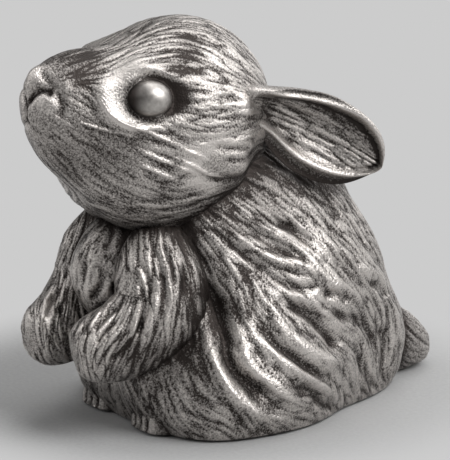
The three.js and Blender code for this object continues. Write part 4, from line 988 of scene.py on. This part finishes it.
def ear_piece(side):
    """An ear: a cupped leaf along its axis from inside the head to its tip.

    t runs from a little below 0 to 1 along it. The half width grows by a smooth step from the buried end,
    and closes at the tip as the root of 1 less a power. Across it, v is the cosine of the turn. The leaf
    bends by its cup times (v squared - 1), and its wall stands on both faces by a power of the sine. A rim
    stands along the edge, with a groove inside it. Where a margin rolls back, the rim lies further in, and
    what is outside it falls away from the hollow. Past the middle of the lower edge, the rim spreads to a
    lip that all but fills the groove, and that carries a painted highlight.
    """
    sign = SIDES[side]
    mirror = np.array([sign, 1, 1])
    way = EAR_ROOT_WAY * mirror
    root = way * reach(off_head, np.zeros(3), way, HEAD_REACH)
    axis = EAR_AXIS * mirror
    across = unit(np.cross(EAR_FACING * mirror, axis))
    face = np.cross(axis, across)
    rows, columns = EAR_GRID
    step = np.sin(np.pi / 2 * np.arange(1, rows + 1) / (rows + 1))
    t = (-EAR_SUNK + (1 + EAR_SUNK) * step)[:, None]
    turn = np.linspace(0, TAU, columns, endpoint=False)[None, :]
    opened = rise(t, -EAR_SUNK, EAR_FLARE)
    taper = np.sqrt(1 - np.maximum(0, (t - EAR_FLARE) / (1 - EAR_FLARE)) ** EAR_ROUNDING)
    buried = np.sqrt(rise(t, -EAR_SUNK, EAR_CLOSED))
    half = EAR_HALF_WIDTH * (EAR_STALK + (1 - EAR_STALK) * opened) * taper * buried
    hollow = np.maximum(0, (t - EAR_HOLLOW_FROM) / (1 - EAR_HOLLOW_FROM)) ** EAR_DEEPEST
    cup = EAR_CUP * np.sin(math.pi * hollow)
    wall = (EAR_STALK_WALL + (EAR_WALL - EAR_STALK_WALL) * opened) * buried
    v = np.cos(turn) + 0 * t
    front = np.sign(np.sin(turn)) * np.abs(np.sin(turn)) ** EAR_EDGE
    upward = v * sign_of_upper(across)
    lower, upper = ear_margins(upward, t, half)
    half = half * (1 + LOWER_MARGIN["widening"] * lower)
    from_edge = (1 - np.abs(v)) * half
    rim_at = EAR_RIM_AT + LOWER_MARGIN["inset"] * lower + UPPER_MARGIN["inset"] * upper
    inward = from_edge - rim_at
    rim = bell(inward, EAR_BEAD_WIDTH) * rise(t, *EAR_RIM_STARTS)
    lip = lower * rise(t, *LIP["begins"]) * (front > 0)
    groove = bell(inward - EAR_GROOVE["at"], EAR_GROOVE["width"]) * opened * (front > 0)
    groove = groove * (1 - LIP["fills"] * lip)
    rolled = LOWER_MARGIN["roll"] * lower + UPPER_MARGIN["roll"] * upper
    rolled = rolled * rise(1 - from_edge / rim_at, -0.1, 1.0)
    lift = front * (wall / 2 + EAR_BEAD * rim - EAR_GROOVE["depth"] * groove) - ROLL_DEPTH * rolled
    spine = root + axis * EAR_LENGTH * t[..., None]
    leaf = spine + across * (half * v)[..., None] + face * (cup * (v * v - 1) + lift)[..., None]
    normal = outward_of_ring(leaf)
    # hairs along the ear, on a pattern of its own for each face
    flat = np.stack([half * v, EAR_LENGTH * t + 0 * v, 3.0 * np.sign(front) + 0 * t], axis=-1)
    hairs, fine = (
        locks(2.2 * (grain(flat * kind["pattern"], 1.0, kind["seed"] + sign) - 0.5))
        for kind in (EAR_HAIR, EAR_FINE_HAIR)
    )
    inside = rise(front + 0 * t, 0.0, 0.5) * rise(inward, 0.5, 1.0)
    outside = rise(-front + 0 * t, 0.0, 0.5) * rise(from_edge, 0.1, 0.6)
    height = (EAR_HAIR["inside"] * inside + EAR_HAIR["outside"] * outside) * hairs
    height = height + (EAR_FINE_HAIR["inside"] * inside + EAR_FINE_HAIR["outside"] * outside) * fine
    shaped = from_head(leaf + normal * height[..., None])
    # painted shade on the upper half of the hollow and a painted highlight on its lower half, darker in the
    # groove with more painted shade in its upper part, painted shade on the outside below, and darker on the
    # rolled margins
    shaded = rise(upward, -0.9, 0.6)
    tarnish_and_painted_light = EAR_TARNISH_AND_PAINTED_LIGHT["hollow"] * inside * (shaded - 0.5)
    tarnish_and_painted_light = tarnish_and_painted_light + (EAR_TARNISH_AND_PAINTED_LIGHT["groove"] + EAR_TARNISH_AND_PAINTED_LIGHT["groove_upper_shade"] * shaded) * groove
    tarnish_and_painted_light = tarnish_and_painted_light + EAR_TARNISH_AND_PAINTED_LIGHT["outside"] * outside * (1 - shaded)
    tarnish_and_painted_light = tarnish_and_painted_light + EAR_TARNISH_AND_PAINTED_LIGHT["margins"] * rolled * (front > 0)
    # painted highlight along the lip
    tarnish_and_painted_light = tarnish_and_painted_light - LIP["rubbed_and_highlit"] * lip * bell(inward - LIP["at"], LIP["width"])
    # tarnish and painted shade where the ear meets the head, kept off the rim
    tarnish_and_painted_light = np.maximum(tarnish_and_painted_light, crease_tarnish_and_shade(off_head(leaf), width=0.7) * rise(t, 0.0, 0.1) * (1 - rim))
    hair = (inside + outside) * (EAR_HAIR["rubbing"] * hairs + EAR_FINE_HAIR["rubbing"] * fine)
    brightness = worn(height, cells=4, scale=0.2, hair=hair) + EAR_RIM_RUBBED * rim * (front > 0)
    attributes = {"worn": np.clip(brightness, 0, 1), "tarnish_and_painted_light": tarnish_and_painted_light}
    start = from_head(root - axis * EAR_LENGTH * EAR_SUNK)
    return mesh_piece(f"cupped_ear_{side}", shaped, start, from_head(root + axis * EAR_LENGTH), attributes)


def sign_of_upper(across):
    """1 if the ear's v runs upwards across it, and -1 if it runs downwards."""
    return 1.0 if across[2] > 0 else -1.0


def outward_of_ring(grid):
    """Unit normals of a grid of rings, each turned so that they point away from their own ring's middle."""
    down, around = slopes(grid)
    normal = unit(np.cross(down, around))
    away = grid - grid.mean(axis=1, keepdims=True)
    return normal * np.sign(np.sum(normal * away))


# Forelegs, feet and tail

def tail_fur(rows, columns):
    """Height of the tail's locks: grains on a cylinder, stretched along it, that swing a little round it."""
    length, seed = TAIL_FUR["length"], TAIL_FUR["seed"]
    run = np.linspace(0, length, rows)[:, None] + np.zeros((1, columns))
    turn = np.linspace(0, TAU, columns, endpoint=False)[None, :]
    turn = turn + TAIL_FUR["swing"] * np.sin(run / length * TAIL_FUR["swings"] + seed)
    around = [TAIL_FUR["radius"] * np.cos(turn), TAIL_FUR["radius"] * np.sin(turn), run / TAIL_FUR["stretch"]]
    around = np.stack(around, axis=-1)
    broad_size, thin_size = TAIL_FUR["sizes"]
    broad = locks(2.4 * (grain(around, broad_size, seed) - 0.5))
    thin = locks(2.4 * (grain(around * (1, 1, 1.8), thin_size, seed + 1) - 0.5))
    broad_height, thin_height = TAIL_FUR["heights"]
    return broad_height * broad + thin_height * thin


def foreleg_piece(side):
    """A foreleg: ellipses square to the track from shoulder to paw, blown out by the root of sin(fall), with
    half sizes that run evenly from point to point. Its fur runs down the limb and fans over the paw."""
    rows, columns = LIMB_GRID
    fall = math.pi * np.arange(1, rows + 1) / (rows + 1)
    t = (1 - np.cos(fall)) / 2
    line = limb_line(side)
    middle = track(line, t)
    way = unit(track(line, t + 1e-4) - track(line, t - 1e-4))
    out = np.array([SIDES[side], 0, 0])
    outer = unit(out - way * dot(way, out))
    up = np.cross(outer, way)
    place = t * (len(FORELEG) - 1)
    steps = np.arange(len(FORELEG))
    swell = np.sin(fall) ** LIMB_ROUNDING
    wide = np.interp(place, steps, [w for _, w, _ in FORELEG]) * swell
    deep = np.interp(place, steps, [d for _, _, d in FORELEG]) * swell
    turn = np.linspace(0, TAU, columns, endpoint=False)
    ring = middle[:, None] + outer[:, None] * (wide[:, None] * np.cos(turn))[..., None]
    ring = ring + up[:, None] * (deep[:, None] * np.sin(turn))[..., None]
    normal = outward_of_ring(ring)
    hints, strokes = (NEAR_ARM_LIE, NEAR_ARM_STROKES) if side == "left" else (FAR_ARM_LIE, FAR_ARM_STROKES)
    along = way[:, None] + 0 * ring
    plain = unit(along - normal * dot(along, normal))
    coarse, medium, fine = combed_fur(ring, normal, ring, hints, plain, ARM_FUR, mirrored=False)
    ends = rise(np.sin(fall), 0.0, 0.2)[:, None]
    coarse_height, medium_height, fine_height = ARM_FUR["heights"]
    height = (coarse_height * coarse + medium_height * medium + fine_height * fine) * ends
    height = height + carved(ring, normal, strokes, mirrored=False)
    medium_rubbing, fine_rubbing = ARM_FUR["rubbing"]
    hair = (medium_rubbing * medium + fine_rubbing * fine) * ends
    shaped = ring + normal * height[..., None]
    # tarnish and painted shade against the body and under the head, whose shade falls on the top of the arm,
    # then the forelegs' marks of tarnish and painted light
    tarnish_and_painted_light = np.maximum(crease_tarnish_and_shade(off_body(ring), width=0.8), crease_tarnish_and_shade(off_head(to_head(ring)), width=2.2))
    tarnish_and_painted_light = tarnish_and_painted_light + spots(drawn_from(ring), ARM_TARNISH_AND_PAINTED_LIGHT)
    attributes = {"worn": worn(height, cells=5, scale=0.25, hair=hair), "tarnish_and_painted_light": tarnish_and_painted_light}
    tips = line[0] - way[0] * LIMB_TIP, line[-1] + way[-1] * LIMB_TIP
    return mesh_piece(f"furred_foreleg_{side}", shaped, *tips, attributes)


def hind_foot_piece(side):
    """A hind foot: a low half dome along y, with three grooves between its four toes that fade towards the
    heel, and sides painted darker as shade."""
    rows, columns = FOOT_GRID
    fall = (math.pi * np.arange(1, rows + 1) / (rows + 1))[:, None]
    turn = np.linspace(0, TAU, columns, endpoint=False)[None, :]
    swell = np.sin(fall) ** LIMB_ROUNDING
    across = FOOT_HALF_WIDTH * swell * np.sin(turn)
    y = FOOT_MIDDLE - FOOT_HALF_LENGTH * np.cos(fall) + 0 * turn
    z = np.maximum(RIM_HEIGHT, RIM_HEIGHT + FOOT_HEIGHT * swell * np.cos(turn))
    x = SIDES[side] * FOOT_X
    dome = np.stack([x + across, y, z], axis=-1)
    groove = sum(bell(across - at, TOE_GROOVES["width"]) for at in TOE_GROOVES["at"])
    toes = groove * rise(-y, *TOE_GROOVES["begin"])
    normal = outward_of_ring(dome)
    top = rise(dome[..., 2], RIM_HEIGHT, 0.8)
    shaped = dome - normal * (TOE_GROOVES["depth"] * toes * top)[..., None]
    # tarnish and painted shade against the body, tarnish in the toes' grooves, and painted shade on the
    # foot's sides
    tarnish_and_painted_light = np.maximum(0.6 * crease_tarnish_and_shade(off_body(dome), width=0.6), 0.9 * toes)
    tarnish_and_painted_light = tarnish_and_painted_light + FOOT_SIDE_SHADE["tarnish_and_painted_light"] * rise(np.abs(across), *FOOT_SIDE_SHADE["begin"])
    attributes = {"worn": FOOT_WORN - TOE_GROOVES["unworn"] * toes, "tarnish_and_painted_light": tarnish_and_painted_light}
    tip, heel = ((x, FOOT_MIDDLE + end * FOOT_HALF_LENGTH, RIM_HEIGHT) for end in (-1, 1))
    return mesh_piece(f"toed_hind_foot_{side}", shaped, tip, heel, attributes)


def tail_piece():
    """The tail: sections of a cone from the rump to its tip, whose half sizes close as the root of 1 less t
    to the power of its rounding, flattened where they meet the floor."""
    rows, columns = TAIL_GRID
    t = (np.arange(rows) / rows)[:, None]
    turn = np.linspace(0, TAU, columns, endpoint=False)[None, :]
    swell = np.sqrt(np.maximum(0, 1 - t**TAIL_ROUNDING))
    x = TAIL_HALF_WIDTH * swell * np.sin(turn)
    y = TAIL_ROOT_Y + TAIL_LENGTH * t + 0 * turn
    z = TAIL_ROOT_HEIGHT + (TAIL_TIP_HEIGHT - TAIL_ROOT_HEIGHT) * t + TAIL_HALF_WIDTH * swell * np.cos(turn)
    cone = np.stack([x, y, z], axis=-1)
    normal = outward_of_ring(cone)
    height = tail_fur(rows, columns) * rise(1 - t, 0.0, 0.15)
    shaped = cone + normal * height[..., None]
    shaped[..., 2] = np.maximum(shaped[..., 2], RIM_HEIGHT)
    # tarnish and painted shade where the tail meets the body
    attributes = {"worn": worn(height, cells=3, scale=0.16), "tarnish_and_painted_light": crease_tarnish_and_shade(off_body(cone), width=0.9)}
    root = (0, TAIL_ROOT_Y, TAIL_ROOT_HEIGHT)
    tip = (0, TAIL_ROOT_Y + TAIL_LENGTH, TAIL_TIP_HEIGHT)
    return mesh_piece("furred_tail", shaped, root, tip, attributes)


# Materials

def linear(code):
    """A colour written as sRGB hex digits, made linear: c / 12.92 up to 0.04045, and ((c + 0.055) / 1.055) to
    the power 2.4 above."""
    parts = [int(code[i : i + 2], 16) / 255 for i in (0, 2, 4)]
    return (*[c / 12.92 if c <= 0.04045 else ((c + 0.055) / 1.055) ** 2.4 for c in parts], 1.0)


def add_node(tree, kind, inputs=None, **settings):
    """Adds a node. Settings are its own properties. Inputs are numbers or colours, or sockets to link."""
    node = tree.nodes.new(kind)
    for key, value in settings.items():
        setattr(node, key, value)
    for key, value in (inputs or {}).items():
        if isinstance(value, bpy.types.NodeSocket):
            tree.links.new(value, node.inputs[key])
        else:
            node.inputs[key].default_value = value
    return node


def new_material(name):
    """An empty node material with its output and its main shader."""
    material = bpy.data.materials.new(name)
    material.use_nodes = True
    tree = material.node_tree
    tree.nodes.clear()
    shader = add_node(tree, "ShaderNodeBsdfPrincipled")
    add_node(tree, "ShaderNodeOutputMaterial", {"Surface": shader.outputs[0]})
    return material, tree, shader


def connect(tree, shader, inputs):
    for key, socket in inputs.items():
        tree.links.new(socket, shader.inputs[key])


def noise(tree, at, scale, detail, **inputs):
    """A noise pattern over places in metres, with about as many spots in a metre as its scale says."""
    inputs = {"Vector": at, "Scale": scale, "Detail": detail, **inputs}
    return add_node(tree, "ShaderNodeTexNoise", inputs).outputs[0]


def kept_value(tree, name):
    """A value that the mesh keeps at each of its points."""
    return add_node(tree, "ShaderNodeAttribute", attribute_name=name).outputs["Fac"]


def worked_out(tree, operation, *values, clamp=False):
    """The result of one step of maths on numbers or sockets."""
    inputs = dict(enumerate(values))
    return add_node(tree, "ShaderNodeMath", inputs, operation=operation, use_clamp=clamp).outputs[0]


def blended(tree, share, *colours):
    """A colour between two, by a share. Each is written in hex digits, or is a socket."""
    first, second = (linear(colour) if isinstance(colour, str) else colour for colour in colours)
    return add_node(tree, "ShaderNodeMix", {0: share, 6: first, 7: second}, data_type="RGBA").outputs[2]


def ranged(tree, value, low, high):
    """A value from 0 to 1, laid over the range from low to high."""
    return add_node(tree, "ShaderNodeMapRange", {"Value": value, "To Min": low, "To Max": high}).outputs[0]


def bumped(tree, height, strength, distance):
    """Normals tilted by a pattern that stands for heights from 0 to a distance in metres."""
    inputs = {"Strength": strength, "Distance": distance, "Height": height}
    return add_node(tree, "ShaderNodeBump", inputs).outputs[0]


def antiqued_pewter():
    """Cast pewter, blackened all over and then rubbed back: the ridges shine pale grey, the valleys keep a
    matt brown-black, and the skin of the casting is finely pitted, so that its highlights sparkle."""
    material, tree, shader = new_material("antiqued_cast_pewter")
    at = add_node(tree, "ShaderNodeTexCoord").outputs["Object"]
    ridge = kept_value(tree, "worn")
    tarnish_and_painted_light = kept_value(tree, "tarnish_and_painted_light")
    # pits of the mould's skin, 0.2 mm across
    pits = noise(tree, at, 5000.0, 2.5, Roughness=0.6)
    # uneven rubbing, in patches of 3 mm across
    patches = noise(tree, at, 330.0, 3.0)
    # the ridges' rubbing, made uneven by both, each taken about its own middle
    rubbed_and_highlit = worked_out(tree, "MULTIPLY_ADD", ridge, 1.15, -0.11)
    pitted = worked_out(tree, "MULTIPLY_ADD", pits, 2.2, -1.1)
    patched = worked_out(tree, "MULTIPLY_ADD", patches, 0.4, -0.2)
    total = worked_out(tree, "ADD", rubbed_and_highlit, pitted)
    total = worked_out(tree, "ADD", total, patched)
    # tarnish and painted shade halve what is rubbed bright, so that its grain still shows, and hold back some
    # more; where the value is below 0 it paints highlights
    left = worked_out(tree, "MULTIPLY_ADD", tarnish_and_painted_light, -0.55, 1.0)
    left = worked_out(tree, "MULTIPLY", total, left)
    held = worked_out(tree, "MULTIPLY", tarnish_and_painted_light, 0.42)
    bright = worked_out(tree, "SUBTRACT", left, held, clamp=True)
    colour = blended(tree, bright, "342e2b", "dad4cf")
    metal = ranged(tree, bright, 0.75, 1.0)
    rough = ranged(tree, bright, 0.48, 0.3)
    bump = bumped(tree, pits, 0.85, 0.00012)
    connect(tree, shader, {"Base Color": colour, "Metallic": metal, "Roughness": rough, "Normal": bump})
    return material


def polished_pewter():
    """Pewter burnished by hand: a smooth grey mirror with soft reflections and faint rubbing marks."""
    material, tree, shader = new_material("burnished_pewter")
    at = add_node(tree, "ShaderNodeTexCoord").outputs["Object"]
    # rubbing marks, 0.5 mm apart
    marks = noise(tree, at, 2000.0, 3.0)
    clean = blended(tree, marks, "8a8682", "d8d4cf")
    # the front part of each eye is painted dark as shade
    colour = blended(tree, kept_value(tree, "tarnish_and_painted_light"), clean, "3a3533")
    rough = ranged(tree, marks, 0.34, 0.5)
    bump = bumped(tree, marks, 0.12, 0.0001)
    shader.inputs["Metallic"].default_value = 1.0
    connect(tree, shader, {"Base Color": colour, "Roughness": rough, "Normal": bump})
    return material


def rolled_pewter():
    """Rolled pewter sheet: a dull satin grey, with fine scratches along the rolling direction."""
    material, tree, shader = new_material("rolled_pewter_sheet")
    at = add_node(tree, "ShaderNodeTexCoord").outputs["Object"]
    # scratches 0.2 mm apart and 5 mm long
    drawn = add_node(tree, "ShaderNodeMapping", {"Vector": at, "Scale": (5000.0, 200.0, 5000.0)}).outputs[0]
    scratches = noise(tree, drawn, 1.0, 2.0)
    colour = blended(tree, scratches, "8a8783", "aeaba6")
    rough = ranged(tree, scratches, 0.4, 0.55)
    bump = bumped(tree, scratches, 0.2, 0.00005)
    shader.inputs["Metallic"].default_value = 1.0
    connect(tree, shader, {"Base Color": colour, "Roughness": rough, "Normal": bump})
    return material


def wool_felt():
    """Pressed wool felt, dyed charcoal: matt, with tangled fibres that catch a little grazing light."""
    material, tree, shader = new_material("pressed_wool_felt")
    at = add_node(tree, "ShaderNodeTexCoord").outputs["Object"]
    # fibres 0.15 mm apart, in tufts of 1 mm
    fibres = noise(tree, at, 6500.0, 4.0, Distortion=1.5)
    tufts = noise(tree, at, 1000.0, 2.0)
    mixed = worked_out(tree, "MULTIPLY", fibres, tufts)
    colour = blended(tree, mixed, "1d1e20", "4a4b4e")
    bump = bumped(tree, fibres, 0.6, 0.0002)
    shader.inputs["Roughness"].default_value = 0.95
    shader.inputs["Sheen Weight"].default_value = 0.25
    connect(tree, shader, {"Base Color": colour, "Normal": bump})
    return material


def studio_paper():
    """Pale paper: matt grey near the figurine, running out to the plain backdrop tone. The darker grey round
    the figurine is partly painted shade.
    """
    material, tree, shader = new_material("matt_studio_paper")
    at = add_node(tree, "ShaderNodeTexCoord").outputs["Object"]
    # fibres of the paper, 0.5 mm across
    fibres = noise(tree, at, 2200.0, 3.0)
    # the plain tone starts round a place 6 mm from the figurine's middle, towards its right side
    offset = add_node(
        tree, "ShaderNodeVectorMath", {0: at, 1: (-0.0061, 0.0004, 0.0)}, operation="SUBTRACT"
    ).outputs[0]
    away = add_node(tree, "ShaderNodeVectorMath", {0: offset}, operation="LENGTH").outputs["Value"]
    # darker paper round the figurine, partly painted shade
    near = blended(tree, fibres, "999999", "acacac")
    shader.inputs["Roughness"].default_value = 0.9
    shader.inputs["Specular IOR Level"].default_value = 0.1
    connect(tree, shader, {"Base Color": near})
    plain = add_node(tree, "ShaderNodeEmission", {"Color": linear("cccccc"), "Strength": 1.0}).outputs[0]
    ray = add_node(tree, "ShaderNodeLightPath")
    direct, mirrored = ray.outputs["Is Camera Ray"], ray.outputs["Is Glossy Ray"]
    seen = worked_out(tree, "MAXIMUM", direct, mirrored)
    seen = worked_out(tree, "MAXIMUM", seen, ray.outputs["Is Transmission Ray"])
    far = add_node(
        tree,
        "ShaderNodeMapRange",
        {"Value": away, "From Min": 0.024, "From Max": 0.038},
        interpolation_type="SMOOTHSTEP",
    ).outputs[0]
    share = worked_out(tree, "MULTIPLY", seen, far)
    mixed = add_node(tree, "ShaderNodeMixShader", {0: share, 1: shader.outputs[0], 2: plain}).outputs[0]
    output = next(n for n in tree.nodes if n.type == "OUTPUT_MATERIAL")
    tree.links.new(mixed, output.inputs["Surface"])
    return material


# Assembly

PEWTER = antiqued_pewter()
BURNISHED = polished_pewter()


def dress(piece, material, nodes):
    """Puts a piece in its material, in place of its castings, on the one body of the figurine."""
    piece.data.materials.append(material)
    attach(piece, "root")
    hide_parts(*nodes)
    return piece


dress(body_piece(), PEWTER, ["body_casting"])
dress(head_piece(), PEWTER, ["head_casting"])
dress(tail_piece(), PEWTER, ["tail"])
for side in SIDES:
    dress(eye_piece(side), BURNISHED, ["head_casting"])
    dress(ear_piece(side), PEWTER, [f"ear_{side}"])
    dress(foreleg_piece(side), PEWTER, [f"foreleg_{side}"])
    dress(hind_foot_piece(side), PEWTER, [f"hind_foot_{side}"])
for name, material in (("base_plate", rolled_pewter()), ("felt_pad", wool_felt())):
    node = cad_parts[name]
    node.data.materials.clear()
    node.data.materials.append(material)

# Studio

SHEET_WIDTH = 12.0  # in metres
FRAME_WIDTH = 50.0  # width of the picture at the aim, in mm
SENSOR_WIDTH = 36.0


def paper_sheet():
    """A flat square sheet of paper under the figurine, so wide that low views show none of its edges."""
    mesh = bpy.data.meshes.new("studio_floor")
    half = SHEET_WIDTH / 2
    corners = [(-half, -half, 0), (half, -half, 0), (half, half, 0), (-half, half, 0)]
    mesh.from_pydata(corners, [], [(0, 1, 2, 3)])
    sheet = bpy.data.objects.new("studio_floor", mesh)
    bpy.context.scene.collection.objects.link(sheet)
    mesh.materials.append(studio_paper())


def softbox(name, azimuth, elevation, distance, size, watts):
    """A square soft light that faces the figurine from an azimuth, an elevation and a distance in metres."""
    lamp = bpy.data.lights.new(name, "AREA")
    lamp.shape = "SQUARE"
    lamp.size = size
    lamp.energy = watts
    holder = bpy.data.objects.new(name, lamp)
    turn, tilt = math.radians(azimuth), math.radians(elevation)
    way = np.array([math.sin(turn) * math.cos(tilt), -math.cos(turn) * math.cos(tilt), math.sin(tilt)])
    holder.location = way * distance + SIGHT_AIM * MILLIMETRE
    holder.rotation_euler = (math.pi / 2 - tilt, 0, turn)
    bpy.context.scene.collection.objects.link(holder)


def place_camera():
    """A camera on the line of sight, whose lens is as long as the frame's width at the aim asks for."""
    data = bpy.data.cameras.new("camera")
    data.sensor_fit = "HORIZONTAL"
    data.sensor_width = SENSOR_WIDTH
    data.lens = SENSOR_WIDTH * SIGHT_DISTANCE / FRAME_WIDTH
    data.clip_start = 0.01
    camera = bpy.data.objects.new("camera", data)
    camera.location = (SIGHT_AIM + SIGHT * SIGHT_DISTANCE) * MILLIMETRE
    camera.rotation_euler = (math.pi / 2 - RAISED, 0, ROUND)
    bpy.context.scene.collection.objects.link(camera)
    bpy.context.scene.camera = camera


def plain_world(strength):
    world = bpy.data.worlds.new("studio_air")
    world.use_nodes = True
    world.node_tree.nodes.clear()
    sky = add_node(world.node_tree, "ShaderNodeBackground", {"Color": linear("ffffff"), "Strength": strength})
    add_node(world.node_tree, "ShaderNodeOutputWorld", {"Surface": sky.outputs[0]})
    bpy.context.scene.world = world


paper_sheet()
softbox("key_softbox", azimuth=118, elevation=46, distance=0.5, size=0.36, watts=2.4)
softbox("top_softbox", azimuth=220, elevation=76, distance=0.5, size=0.3, watts=0.75)
softbox("side_softbox", azimuth=120, elevation=4, distance=0.6, size=0.5, watts=0.5)
softbox("back_softbox", azimuth=200, elevation=28, distance=0.6, size=0.55, watts=1.3)
softbox("front_softbox", azimuth=335, elevation=40, distance=0.6, size=0.6, watts=1.2)
plain_world(strength=0.2)
place_camera()
bpy.context.scene.view_settings.view_transform = "Standard"
